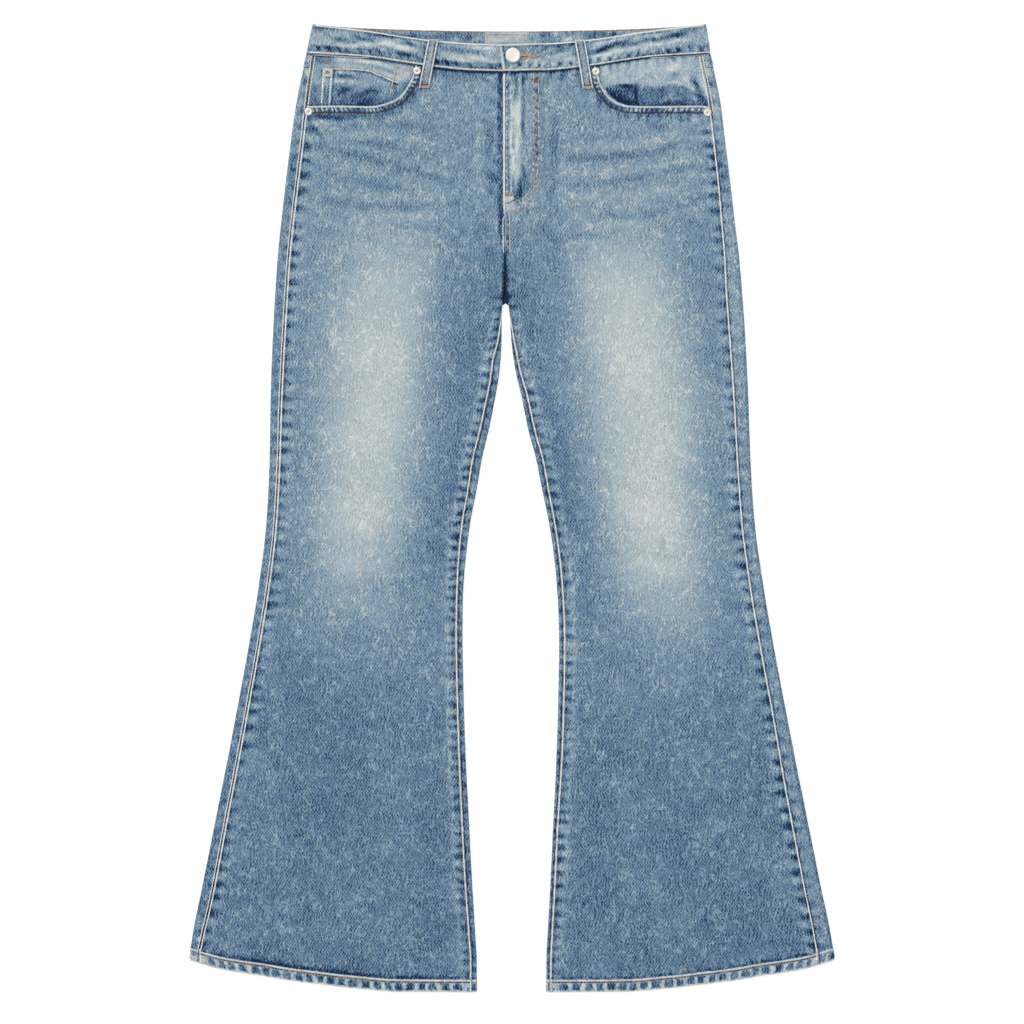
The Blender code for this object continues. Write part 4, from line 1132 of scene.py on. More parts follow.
def hem_back(side):
    zones = (
        [("strip", s) for s in np.linspace(1, 0, 9)[:-1]]
        + [("outer", s) for s in np.linspace(1, 0, 9)]
        + [("under", s) for s in np.linspace(0, 1, 190)[1:-1]]
        + [("inner", s) for s in np.linspace(0, 1, 12)]
    )
    outer, inner, tones, rusts = [], [], [], []
    for zone, share in zones:
        x, _ = back_place(side, HEM_START, zone, share, 0.0)
        for _ in range(3):
            down = hem_edge(side, x) - HEM_LINES
            x, _ = back_place(side, down, zone, share, 0.0)
        outer_run, inner_run = back_run(side, zone, share, down)
        tone, relief, rust = hem_look(outer_run, HEM_LINES)
        if zone == "strip":
            tone = between(tone, 0.84, ease(HEM_LINES, 0.5, 2) * (1 - ease(HEM_LINES, 9, 10))
                           * (1 - ease(outer_run, 6, 9)))
        relief = np.minimum(relief - 0.5, 0.0) if zone == "under" else 0.5 * relief - 0.1
        edge = np.maximum(rim(HEM_LINES + 0.2, 1.1), rim(np.minimum(outer_run, inner_run), 0.5))
        outer.append(on(back_place, side, down, zone, share, edge - relief))
        inner.append(on(back_place, side, down, zone, share, HEM_CLOTH - 0.1 - np.minimum(edge, 0.9)))
        tones.append(tone)
        rusts.append(rust)
    outer, inner, tone, rust = (np.stack(line, 1) for line in (outer, inner, tones, rusts))
    return shell(f"hem_back_{side}", outer, inner, tone, 0.5, rust)


# ---------------------------------------------------------------- the waistband
BAND_ROWS = np.concatenate([[0, 0.004, 0.013, 0.028, 0.05, 0.085], np.linspace(0.12, 0.88, 15),
                            [0.915, 0.95, 0.972, 0.987, 0.996, 1]])


def band_end(down):
    """Where the lapped end stops: it leans back towards its lower corner."""
    return BAND_END_LEFT + BAND_END_SLANT * (down - BAND_END_TOP) / BAND_END_DROP


def lap_face(down):
    return edge_height(down) + BAND_PROUD + BAND_LAP


def band_place(side, down, zone, share, depth):
    sign = SIGN[side]
    radius = (edge_height(down) + BAND_PROUD - HIP_RAISE) / 2
    start = outer_edge(side, down) - sign * radius
    if zone == "back":
        return between(start, lean(down), share), HIP_RAISE + depth
    if zone == "fold":
        across, sink = bend(math.pi * radius * share, radius, 1, depth)
        return start + sign * across, HIP_RAISE + sink
    reach = {"right": BAND_END_RIGHT, "left": FLY_LIFT_GONE}[side]
    if zone == "lap":
        corner = rim(down - BAND_END_TOP, 5.5)
        x = np.maximum(share, band_end(down) + corner)
    else:
        x = between(start, reach, share)
    lap = BAND_LAP * (1 - ease(x, FLY_FLAT_TO, FLY_LIFT_GONE)) if side == "left" else 0.0
    return x, edge_height(down) + BAND_PROUD + lap - depth


def band_stations():
    front = np.linspace(0, 1, 210)[1:]
    fold = np.linspace(0, 1, 9)
    back = np.linspace(0, 1, 150)[1:]
    lap = np.concatenate([np.linspace(41.0, -13.0, 46), [-13.6, -14.0, -14.2]])
    stations = [("right", "front", s) for s in front[::-1]] + [("right", "fold", s) for s in fold[::-1]]
    stations += [("right", "back", s) for s in back] + [("left", "back", s) for s in back[-2::-1]]
    stations += [("left", "fold", s) for s in fold] + [("left", "front", s) for s in front]
    return stations + [("left", "lap", s) for s in lap]


def band_edges(side, zone, share):
    if zone == "fold":
        return front_top(1.0), front_bottom(1.0)
    upper, lower = (back_top, back_bottom) if zone == "back" else (front_top, front_bottom)
    upper_x, _ = band_place(side, upper(0.5), zone, share, 0.0)
    lower_x, _ = band_place(side, lower(0.5), zone, share, 0.0)
    return upper(waist_share(upper_x)), lower(waist_share(lower_x))


def band_look(x, from_top, height, seed, down=None):
    """Streaks along the band, and a row of dark puckers over its lower stitching."""
    low = height - from_top
    tone = (
        0.67 + 0.2 * patchy(0.2 * x, from_top, 4, seed)
        + 0.1 * patchy(x + from_top, from_top * 1.5, 7, seed + 1)
    )
    upper = puckers(x + 1.3 * from_top + 3 * patchy(x, from_top, 8, seed + 2), 12.5, seed + 3)
    lower = puckers(x - 0.8 * low + 3 * patchy(x, low, 8, seed + 4), 11.5, seed + 5)
    up, lo = bell(from_top, 7), bell(low, 12)
    tone = tone + np.where(upper < 0, 0.2, 0.16) * upper * up + 0.12 * np.maximum(lower, 0) * lo
    tone = tone - 0.34 * ease(-1.2 * lower - ((low - 6.5) / 4.6) ** 2, 0.1, 0.8)
    relief = 0.2 * upper * up + 0.34 * lower * lo + 0.12 * patchy(0.3 * x, from_top, 5, seed + 6)
    if down is not None:
        streak = strokes(BAND_STREAKS, x, down)
        tone, relief = tone + streak, relief + 1.2 * streak
        row = ease(np.cos(2 * math.pi * (x + 0.5 * low + 2.4 * patchy(x, 0 * x, 14, seed + 7)) / 11.2),
                   0.2, 0.8)
        row = row * bell(low - 6.6, 2.9) * (0.8 + 0.4 * patchy(x, 0 * x, 26, seed + 8))
        tone, relief = tone - 0.46 * row, relief - 0.25 * row
        tone = tone + 0.07 * bell(x + 150, 60) - 0.07 * bell(x - 140, 60)
        tone = tone + 0.1 * bell(x + 44, 24) + 0.1 * bell(low - 6, 5) * (1 - ease(np.abs(x), 120, 150))
        tone = tone - 0.22 * loop_shade(x, down)
        # painted shade in the slit of the buttonhole
        hole = ease(x, 8, 10) * (1 - ease(x, 24, 28)) * bell(down - BUTTON_DOWN - 1.4, 1.0)
        tone, relief = tone - 0.7 * hole, relief - 0.3 * hole
    # the upper edge is worn light; the lower edge is darkened with painted shade
    tone = tone + 0.4 * bell(from_top, 1.1) - 0.6 * bell(low, 0.8)
    tone = tone - 0.22 * bell(from_top - 3.4, 0.9) - 0.2 * bell(low - 3.6, 0.9)
    relief = relief - 0.25 * bell(from_top - 2.4, 1.0) - 0.25 * bell(low - 2.8, 1.0)
    return tone, relief


def waistband():
    outer, inner, tones, inner_tones, rusts = [], [], [], [], []
    for side, zone, share in band_stations():
        upper, lower = band_edges(side, zone, share)
        down = between(upper, lower, BAND_ROWS)
        x, _ = band_place(side, down, zone, share, 0.0)
        from_top, height = down - upper, lower - upper
        signed = x if zone in ("front", "lap") else -x + 900
        tone, relief = band_look(signed + 0 * down, from_top, height, 100,
                                 down if zone in ("front", "lap") else None)
        end = np.full(down.shape, 99.0)
        if zone == "lap":
            end = np.maximum(x - band_end(down), 0)
            tone = tone + 0.42 * bell(end, 2.4, 4) - 0.5 * bell(end - 4.2, 0.7)
            # painted shadow in a ring round the button
            tone = tone - 0.18 * bell(np.hypot(x - BUTTON_X, down - BUTTON_DOWN) - 10.4, 2.4)
            relief = relief + 0.25 * bell(end - 1.8, 1.4) - 0.3 * bell(end - 4.2, 0.8)
        if zone == "back":
            relief = np.minimum(relief - 0.3, 0)
        edge = rim(np.minimum(np.minimum(from_top, lower - down), end), 1.0)
        outer.append(on(band_place, side, down, zone, share, edge - relief))
        inner.append(on(band_place, side, down, zone, share, BAND_CLOTH - edge))
        tones.append(tone)
        inside = 0.65 + 0.3 * patchy(0.4 * x, down, 5, 120) + 0.1 * puckers(x + 0 * down, 10, 121)
        worn = 0.2 * bell(from_top, 0.9)
        inner_tones.append(inside - 0.14 * bell(from_top - 6, 3.0) + worn)
        rusts.append(0.55 * bell(from_top, 1.2) if zone == "back" else 0.12 * bell(lower - down, 1.0))
    stack = (np.stack(line, 1) for line in (outer, inner, tones, inner_tones, rusts))
    outer, inner, tone, inner_tone, rust = stack
    return shell("waistband_cloth", outer, inner, tone, inner_tone, rust, rust)


def band_line(stations, from_top, lift=0.0):
    """Points and normals along the band, a set distance below its upper edge.

    A distance below 0 is counted from the lower edge instead, upwards.
    """
    points, normals = [], []
    for side, zone, share in stations:
        upper, lower = band_edges(side, zone, share)
        down = upper + from_top if from_top >= 0 else lower + from_top
        x, _ = band_place(side, down, zone, share, 0.0)
        signed = x if zone in ("front", "lap") else -x + 900
        at = [np.atleast_1d(float(value)) for value in (signed, down - upper, down)]
        _, relief = band_look(at[0], at[1], lower - upper, 100, at[2] if zone in ("front", "lap") else None)
        relief = min(float(relief[0]) - 0.3, 0) if zone == "back" else float(relief[0])
        point, normal = line_on(band_place, side, down, zone, share, -relief - lift)
        points.append(point)
        normals.append(normal)
    return np.array(points), np.array(normals)


# ---------------------------------------------------------------- pockets
COIN = table("x down", (-213.5, 49.2), (-199, 49.4), (-180, 49.8), (-161, 51.6), (-151.5, 55.4),
             (-138, 61), (-126.5, 65.6))
[coin_top] = curves(COIN)
FACING_STROKES = {
    "right": (
        (-0.5, 2.6, (-200, 57.5), (-190, 57.5), (-174, 61)),
        (0.14, 3.0, (-190, 72), (-176, 66), (-160, 68)),
        (-0.24, 3.6, (-196, 80), (-186, 74), (-176, 70)), (-0.2, 3.0, (-176, 80), (-160, 74), (-144, 78)),
        (0.12, 2.2, (-226, 40), (-226, 88)),
        (-0.22, 3.0, (-220, 70), (-219, 88)), (0.22, 3.2, (-200, 37), (-160, 42), (-128, 50)),
        (-0.3, 2.4, (-172, 45), (-146, 50), (-128, 56)), (-0.24, 2.4, (-134, 58), (-132, 74)),
        (0.12, 2.4, (-226, 60), (-212, 66)), (-0.2, 2.4, (-222, 36), (-212, 44)),
    ),
    "left": (
        (-0.36, 1.8, (104, 71.5), (122, 69), (141, 67)), (-0.28, 1.5, (138.4, 69), (140.6, 92)),
        (-0.2, 4.0, (106, 77), (122, 84), (136, 88)), (0.1, 3.0, (126, 75), (134, 82)),
        (0.24, 1.6, (162, 71), (172, 66.5), (181, 65), (196, 69.5), (208, 77)),
        (-0.6, 4.2, (203, 56), (207.5, 70), (214, 86)), (0.14, 2.0, (215.5, 56), (219.5, 84)),
        (0.12, 2.4, (104, 66), (112, 60), (120, 55)), (-0.14, 2.2, (118, 45), (124, 42)),
        (-0.26, 2.2, (176, 36), (184, 41)), (-0.12, 2.6, (148, 60), (176, 57), (198, 56)),
        (0.1, 3.0, (150, 52), (196, 45)), (-0.18, 3.0, (160, 86), (196, 90)),
    ),
}
shadow_line = curve([95, 106, 122, 141, 148, 163, 180, 198, 214], [73, 71.5, 69, 67.2, 70, 71, 67, 71, 80])


def facing_look(side, x, down):
    top = band_foot(x)
    mouth = front_top_edge(side, x)
    share = np.clip((down - top) / np.maximum(mouth - top, 1), 0, 1)
    if side == "left":
        # below shadow_line the facing is darkened by deep: painted shade inside the pocket mouth, under the
        # front's edge
        deep = 0.56 - 0.2 * ease(x, 135, 150) - 0.08 * ease(x, 165, 195)
        tone = (
            0.88 - 0.22 * share
            - deep * ease(down - shadow_line(x) - 1.4 * patchy(x, 0 * x, 9, 135), -1.4, 2.4)
        )
    else:
        # darker towards the mouth: painted shade inside the pocket, under the front's edge
        dark = 0.26 * bell(x + 176, 26, 4) + 0.24
        tone = 0.67 - dark * ease(share + 0.08 * patchy(x, down, 9, 134), 0.3, 0.95)
        tone = tone + 0.24 * (1 - ease(down - coin_top(x), -4, 1)) * ease(x, -206, -192)
    tone = tone + 0.08 * patchy(x, down, 12, 130) + 0.06 * patchy(x, down, 6, 131)
    line = strokes(FACING_STROKES[side], x, down)
    relief = 0.12 * patchy(x, down, 15, 132) + line
    # painted shade along the mouth, under the front's edge, and a painted shadow right under the band
    tone = tone + line - 0.2 * bell(mouth - down, 3.5) - 0.5 * bell(down - top, 1.8)
    marks, lifts = seam_marks(down - top, x, 11, 8, 133, 0.2, 0.25)
    return tone + marks, relief + lifts


def pocket_facing(side):
    sign = SIGN[side]
    sink = 1.5 + (1.3 if side == "right" else 0.0)
    corner = mouth_corner(side)
    share = np.linspace(0, 1, 70)[None, :]
    row = np.linspace(0, 1, 30)[:, None]
    x = corner + 0 * share * row
    for _ in range(5):
        upper = band_foot(x) + 0.6
        down = between(upper, front_top_edge(side, x) + 14.0, row)
        seam = outer_edge(side, down) - sign * (outseam_inset[side](down) - 4.0)
        x = between(seam, corner - sign * 10.0, share)
    tone, relief = facing_look(side, x, down)
    relief = np.clip(relief, -0.25, 0.3)
    height = top_height(side, x, down) - sink
    outer = place(x, down, height + relief - 0.1)
    inner = place(x, down, height - TRIM_CLOTH + 0.05)
    return shell(f"facing_{side}", outer, inner, tone, 0.5)


def coin_pocket():
    x = np.linspace(-213.5, -126.5, 70)[None, :]
    row = np.concatenate([[0, 0.006, 0.02, 0.045, 0.08], np.linspace(0.12, 1, 24)])[:, None]
    down = between(coin_top(x), front_top_edge("right", x) + 11.0, row)
    edge = down - coin_top(x)
    # the facing's tone, with its painted shade towards the mouth
    tone, relief = facing_look("right", x + 0 * row, down)
    right = -x - 126.5
    # a worn light top edge, with painted shade in the groove just below it
    tone = tone + 0.5 * bell(edge, 1.0) - 0.5 * bell(edge - 2.6, 1.1)
    tone = tone + 0.2 * bell(right, 1.4) - 0.2 * bell(right - 4.0, 1.8)
    lean_in = (down - 49) / 14
    inside = np.maximum(np.abs(x + 206.0 + lean_in) - 4.8, down - 59.0)
    tone = tone - 0.45 * bell(inside - 1.6, 1.0) * (1 - ease(down, 60, 62))
    tone = between(tone, 1.1 - 1.0 * bell(x + 206.5, 1.5) * bell(down - 54.0, 1.8),
                   1 - ease(inside, -0.3, 0.9))
    tone = tone + 0.2 * bell(x + 207, 5.0) * bell(down - 67, 6.0)
    for line_x in (-210.6, -201.6):
        off = x - line_x + lean_in
        tone = tone + 0.5 * bell(off, 1.0) - 0.26 * bell(np.abs(off) - 2.6, 0.9)
    relief = np.clip(relief, -0.2, 0.25) + 0.2 * bell(edge - 1.2, 1.6) - 0.2 * bell(edge - 3.0, 1.0)
    height = top_height("right", x, down) - 1.5
    cut = rim(np.minimum(edge, right + 0 * row), 0.45)
    outer = place(x + 0 * row, down, height + relief - cut)
    inner = place(x + 0 * row, down, height - TRIM_CLOTH + 0.05 + 0 * cut)
    rust = 0.3 * bell(edge, 1.2) + 0 * x
    return shell("coin_pocket_cloth", outer, inner, tone, 0.5, rust)


WELT_WIDTH = 9.2
WELT_LINES = np.array([-0.35, -0.3, -0.15, 0.15, 0.6, 1.2, 1.9, 2.7, 3.5, 4.3, 5.1, 5.9, 6.6, 7.2, 7.8,
                       8.4, 8.9, WELT_WIDTH])
WELT_STITCH = 7.6


def mouth_frame(side, count, margin):
    """Path of a pocket mouth and the direction from it into the front, clear of band and side seam."""
    x, down, run = mouth_path(side, count)
    tx, td = np.gradient(x), np.gradient(down)
    size = np.hypot(tx, td)
    nx, nd = -td / size, tx / size
    flip = np.where(nd - nx * SIGN[side] * 0.5 > 0, 1, -1)
    below_band = down > band_foot(x) + margin
    keep = below_band & (SIGN[side] * (outer_edge(side, down) - x) > outseam_inset[side](down) + margin)
    return [values[keep] for values in (x, down, run, nx * flip, nd * flip)]


def mouth_welt(side):
    px, pd, run, nx, nd = (values[None, :] for values in mouth_frame(side, 230, 0.4))
    d = WELT_LINES[:, None]
    x, down = px + nx * d, pd + nd * d
    down = np.maximum(down, band_foot(x) + 0.5)
    slant = run + 0.35 * d + 1.2 * patchy(run, d, 4, 140)
    wave = puckers(slant, 5.4, 141 + SIGN[side])
    inside = ease(d, 1.7, 2.4) * (1 - ease(d, 7.2, 8.6))
    dash = ease(wave, -0.2, 0.4) * bell(d - 4.3 - 0.5 * patchy(run, 0 * d, 6, 144), 2.2)
    tone = (
        0.42 + 0.1 * patchy(run, d, 5, 142) - 0.26 * inside
        + 0.74 * dash * (0.75 + 0.6 * patchy(run, 0 * d, 18, 145))
    )
    tone = (
        between(tone, 1.0, 1 - ease(d + 0.25 * patchy(run, d, 4, 143), 1.3, 2.3))
        - 0.3 * bell(d - WELT_STITCH, 0.9)
    )
    rise = 0.55 * (1 - ease(d, 7.0, WELT_WIDTH)) + 0.15 * wave * inside - 0.3 * bell(d - WELT_STITCH, 0.7)
    rise = rise + 0.15 * bell(d - 0.9, 0.9) - rim(d + 0.35, 1.0)
    base = top_height(side, x, down)
    _, relief = front_look(side, x, down, 60 + 0 * x, 60 + 0 * x)
    relief = relief * ease(d, 2.0, WELT_WIDTH)
    rust = 0.1 * bell(d - WELT_STITCH, 0.9) + 0.06 * inside + 0 * run
    outer = place(x, down, base + rise + relief)
    inner = place(x, down, base - 0.75 - 0.25 * ease(d, 3, 0) + 0 * rise)
    return shell(f"pocket_mouth_{side}", outer, inner, tone, 0.5, rust)


def welt_line(side, distance, lift):
    px, pd, _, nx, nd = mouth_frame(side, 260, 1.0)
    x, down = px + nx * distance, pd + nd * distance
    points = place(x, down, top_height(side, x, down) + lift)
    return points, UP


def back_pocket(side):
    """A five-sided patch under the back: its grid runs from the mouth down to the point."""
    sign = SIGN[side]
    seam = seat_x(150.0)
    corners = BACK_POCKET
    row = np.concatenate([[0, 0.003, 0.01, 0.022], np.linspace(0.04, 0.96, 34), [0.985, 0.995, 1]])[:, None]
    col = np.concatenate([[0, 0.003, 0.01, 0.022], np.linspace(0.045, 0.955, 30),
                          [0.978, 0.99, 0.997, 1]])[None, :]
    top = between(corners[0], corners[1], col[..., None])
    low_left, low_mid, low_right = corners[4], corners[3], corners[2]
    split = 0.48
    left_part = between(low_left, low_mid, np.clip(col / split, 0, 1)[..., None])
    right_part = between(low_mid, low_right, np.clip((col - split) / (1 - split), 0, 1)[..., None])
    bottom = np.where((col < split)[..., None], left_part, right_part)
    grid = between(top, bottom, row[..., None])
    across, down = grid[..., 0], grid[..., 1]
    edges = []
    loop = list(range(5)) + [0]
    for a, b in zip(loop, loop[1:]):
        start, end = corners[a], corners[b]
        along = (end - start) / np.linalg.norm(end - start)
        edges.append(np.abs((across - start[0]) * along[1] - (down - start[1]) * along[0]))
    mouth, others = edges[0], np.minimum.reduce(edges[1:])
    edge = np.minimum(mouth, others)
    x = seam + sign * across
    tone = 0.6 + 0.06 * patchy(x, down, 22, 150) + 0.12 * bell(across - 118, 50) * bell(down - 180, 50)
    marks, lifts = seam_marks(others, across + down, 12, 8, 151 + sign, 0.16, 0.15)
    tone = (
        tone + marks + 0.35 * bell(edge, 1.1) - 0.12 * bell(others - 4, 1.0) - 0.12 * bell(mouth - 12, 1.4)
    )
    relief = (
        np.clip(lifts - 0.12 + 0.05 * patchy(x, down, 18, 152), -0.3, 0.0) - 0.15 * bell(mouth - 12, 1.2)
    )
    cut = rim(edge, 0.55)
    outer = place(x, down, 0.02 - relief + cut)
    inner = place(x, down, POCKET_CLOTH - cut + 0 * x)
    return shell(f"back_pocket_cloth_{side}", outer, inner, tone, 0.5)


# ---------------------------------------------------------------- belt loops and label
LOOP_ARCH = table("share rise", (0, 0), (0.1, 0.2), (0.25, 1.4), (0.5, 1.8), (0.72, 1.3), (0.88, 0.1),
                  (1, 0))
[loop_rise] = curves(LOOP_ARCH)
LOOP_ROWS = np.concatenate([[0, 0.006, 0.015, 0.03], np.linspace(0.05, 0.95, 44), [0.97, 0.985, 0.994, 1]])
LOOP_HALF = 5.9
LOOP_OFFS = np.array([-5.9, -5.82, -5.6, -5.2, -4.7, -4.1, -3.3, -2.2, -1.1, 0, 1.1, 2.2, 3.3, 4.1, 4.7,
                      5.2, 5.6, 5.82, 5.9])


def loop_look(off, run, length, seed):
    edge = LOOP_HALF - np.abs(off)
    tone = 0.72 + 0.08 * patchy(off, run, 5, seed) + 0.07 * puckers(run + 0.5 * off, 7, seed + 1)
    tone = tone + 0.6 * bell(edge, 1.5, 3) - 0.5 * bell(edge - 2.7, 0.7)
    ends = np.minimum(run, length - run)
    tone = tone - 0.12 * bell(ends - 6, 3.0) + 0.35 * bell(ends, 1.0)
    relief = (
        0.12 * bell(edge - 0.9, 0.9) - 0.2 * bell(edge - 2.0, 0.6)
        + 0.07 * puckers(run + 0.5 * off, 7, seed + 1)
    )
    return tone, relief, np.minimum(edge, ends)


def front_loop(side, name):
    top_x, top_down, low_x, low_down = FRONT_LOOPS[side]
    share, off = LOOP_ROWS[:, None], LOOP_OFFS[None, :]
    length = low_down - top_down
    x = between(top_x, low_x, share) + off
    down = between(top_down, low_down, share) + 0 * off
    tone, relief, edge = loop_look(off + 0 * share, share * length + 0 * off, length, 160 + SIGN[side])
    cut = rim(edge, 0.75)
    below = edge_height(down) + BAND_PROUD + GAP + loop_rise(share)
    outer = place(x, down, below + LOOP_CLOTH + relief - cut)
    inner = place(x, down, below + cut)
    return shell(name + "_cloth", outer, inner, tone, 0.5, 0.1)


def back_loop(name, x_mid):
    share, off = LOOP_ROWS[:, None], LOOP_OFFS[None, :]
    top = back_top(waist_share(x_mid)) + 0.5
    down = top + 54.0 * share + 0 * off
    tone, relief, edge = loop_look(off + 0 * share, share * 54.0 + 0 * off, 54.0, 170)
    cut = rim(edge, 0.55)
    x = x_mid + off + 0 * share
    outer = place(x, down, 0.02 + cut - np.minimum(relief - 0.15, 0))
    inner = place(x, down, POCKET_CLOTH - cut)
    return shell(name + "_cloth", outer, inner, tone, 0.5, 0.1)


def waist_label():
    x = np.concatenate([[-30.4, -30.3, -30], np.linspace(-29.4, 16.4, 60), [17, 17.3, 17.4]])[None, :]
    down = np.concatenate([[8.9, 9, 9.3], np.linspace(9.9, 24, 24), [24.6, 24.9, 25]])[:, None]
    edge = np.minimum(np.minimum(x + 30.4, 17.4 - x), np.minimum(down - 8.9, 25 - down))
    relief = 0.1 * patchy(x, down, 9, 180) + 0.06 * bell(edge - 1.5, 1.0)
    top = 3.85 + 0.4
    outer = place(x + 0 * down, down + 0 * x, top + relief - rim(edge, 0.18))
    inner = place(x + 0 * down, down + 0 * x, 3.86 + 0 * relief)
    tone = (
        0.58 + 0.3 * patchy(x, down, 9, 181) + 0.2 * patchy(x, down, 3, 182) + 0.35 * bell(edge, 0.9)
        - 0.25 * bell(edge - 2.4, 0.8)
    )
    return shell("waist_label_cloth", outer, inner, tone, 0.5)


# ---------------------------------------------------------------- metal
def turned(name, profile, shade, x, down, height, segments=64):
    """A closed solid of revolution; profile is (radius, height) from the top centre to the bottom centre.

    shade is a table of radius and tone, and the underside is darkened with painted shade."""
    profile = np.array(profile, float)
    ring = np.arange(segments) * 2 * np.pi / segments
    middle = profile[1:-1]
    xs = x + middle[:, :1] * np.cos(ring)
    downs = down - middle[:, :1] * np.sin(ring)
    rings = place(xs, downs, height + middle[:, 1:] + 0 * ring).reshape(-1, 3)
    ends = place(np.full(2, x), np.full(2, down), height + profile[[0, -1], 1])
    points = np.concatenate([rings, ends])
    index = np.arange(len(rings)).reshape(len(middle), segments)
    after = np.roll(index, -1, axis=1)
    a, b, c, d = index[:-1].ravel(), index[1:].ravel(), after[1:].ravel(), after[:-1].ravel()
    faces = [np.stack([a, b, c], -1), np.stack([a, c, d], -1)]
    top, bottom = len(rings), len(rings) + 1
    faces.append(np.stack([np.full(segments, top), index[0], after[0]], -1))
    faces.append(np.stack([np.full(segments, bottom), after[-1], index[-1]], -1))
    faces = np.concatenate(faces)
    radii = np.concatenate([np.repeat(middle[:, 0], segments), [0, 0]])
    heights = np.concatenate([np.repeat(middle[:, 1], segments), profile[[0, -1], 1]])
    # painted shade: the tone falls towards the underside, below 1.1 mm
    tone = np.interp(radii, *zip(*shade)) * (0.25 + 0.75 * ease(heights, 0.0, 1.1))
    return mesh_object(name, points, faces[:, [0, 1, 2, 2]], tone, sharp=40)


def rounded(corners, steps=5):
    """A profile with its corners eased by repeated cutting."""
    points = np.array(corners, float)
    for _ in range(steps):
        first = between(points[:-1], points[1:], 0.25)
        second = between(points[:-1], points[1:], 0.75)
        points = np.concatenate([points[:1], np.stack([first, second], 1).reshape(-1, 2)[1:-1],
                                 points[-1:]])
    return points


BUTTON_PROFILE = [(0, 2.6), (3.6, 2.6), (5.6, 2.75), (6.4, 3.0), (7.4, 2.9), (8.5, 1.9), (8.5, 0.7),
                  (7.8, 0.05), (2.3, 0.05), (2.3, -3.0), (0, -3.0)]
# Tones by radius: the dark outer rims of the button and rivets are painted shade
BUTTON_SHADE = [(0, 0.92), (5.4, 0.92), (6.2, 0.84), (7.2, 0.94), (8.2, 0.7), (8.5, 0.35)]
RIVET_SHADE = [(0, 0.3), (0.9, 0.34), (1.5, 0.6), (2.6, 0.86), (3.6, 0.8), (4.5, 0.35)]
RIVET_PROFILE = [(0, 1.3), (0.9, 1.3), (1.3, 1.0), (1.7, 0.75), (2.4, 1.15), (3.6, 1.15), (4.6, 0.5),
                 (4.5, 0.0), (0, 0)]


def metal_pieces(material):
    face = float(lap_face(BUTTON_DOWN)) + GAP
    button = turned("button_cap", rounded(BUTTON_PROFILE, 2), BUTTON_SHADE, BUTTON_X, BUTTON_DOWN, face)
    declare(button, material, "pale_metal", "waist_button")
    for name, (side, x, down) in RIVETS.items():
        seat = float(top_height(side, x, down)) + GAP
        if down < float(band_foot(x)) + 4.6:
            seat += BAND_PROUD
        made = turned(name + "_cap", rounded(RIVET_PROFILE, 2), RIVET_SHADE, x, down, seat + 0.15, 40)
        declare(made, material, "pale_metal", name)


# ---------------------------------------------------------------- materials
class Paint:
    """A material's nodes, made one by one; a value may be a number, a vector or another node's socket."""

    def __init__(self, name):
        self.material = bpy.data.materials.new(name)
        self.material.use_nodes = True
        self.tree = self.material.node_tree
        self.shader = self.tree.nodes["Principled BSDF"]

    def node(self, kind, values=None, **settings):
        made = self.tree.nodes.new(kind)
        for key, value in settings.items():
            setattr(made, key, value)
        for key, value in (values or {}).items():
            self.put(made.inputs[key], value)
        return made

    def put(self, socket, value):
        if isinstance(value, bpy.types.NodeSocket):
            self.tree.links.new(value, socket)
        else:
            socket.default_value = value

    def finish(self, **values):
        for key, value in values.items():
            self.put(self.shader.inputs[key.replace("_", " ")], value)
        return self.material

    def math(self, operation, a, b=0.0, clamp=False):
        return self.node("ShaderNodeMath", {0: a, 1: b}, operation=operation, use_clamp=clamp).outputs[0]

    def scaled(self, value, amount, middle=0.5):
        return self.math("MULTIPLY", self.math("SUBTRACT", value, middle), amount)

    def total(self, *values):
        sum_so_far = values[0]
        for value in values[1:]:
            sum_so_far = self.math("ADD", sum_so_far, value)
        return sum_so_far

    def attribute(self, name):
        return self.node("ShaderNodeAttribute", attribute_name=name).outputs["Fac"]

    def coords(self, scale=(1, 1, 1), turn=0.0):
        place_in = self.node("ShaderNodeTexCoord").outputs["Object"]
        values = {"Vector": place_in, "Scale": scale, "Rotation": (0, 0, math.radians(turn))}
        return self.node("ShaderNodeMapping", values).outputs[0]

    def noise(self, vector, size, detail=2.0, rough=0.5, twist=0.0):
        """Noise with features about `size` mm across."""
        values = {"Vector": vector, "Scale": 1000.0 / size, "Detail": detail, "Roughness": rough,
                  "Distortion": twist}
        return self.node("ShaderNodeTexNoise", values).outputs[0]

    def wave(self, turn, pitch, twist, reach):
        """Soft bands `pitch` mm apart, swirled by a noise with features about `reach` mm across."""
        values = {"Vector": self.coords((1, 1, 1), turn), "Scale": 314.16 / pitch, "Distortion": twist,
                  "Detail": 1.0,
                  "Detail Scale": 3.18 * pitch / reach}
        return self.node("ShaderNodeTexWave", values).outputs[1]

    def remap(self, value, start, end, low=0.0, high=1.0):
        values = {"Value": value, "From Min": start, "From Max": end, "To Min": low, "To Max": high}
        return self.node("ShaderNodeMapRange", values, interpolation_type="SMOOTHSTEP").outputs[0]

    def ramp(self, value, stops):
        made = self.node("ShaderNodeValToRGB", {0: value})
        elements = made.color_ramp.elements
        while len(elements) < len(stops):
            elements.new(0.5)
        for element, (position, colour) in zip(elements, stops):
            element.position = position
            element.color = (*colour, 1.0)
        return made.outputs[0]

    def mix(self, share, first, second):
        made = self.node("ShaderNodeMix", data_type="RGBA")
        self.put(made.inputs[0], share)
        for socket, value in ((made.inputs[6], first), (made.inputs[7], second)):
            self.put(socket, value if isinstance(value, bpy.types.NodeSocket) else (*value, 1.0))
        return made.outputs[2]

    def bump(self, height, distance, strength=1.0):
        return self.node("ShaderNodeBump",
                         {"Height": height, "Distance": distance, "Strength": strength}).outputs[0]


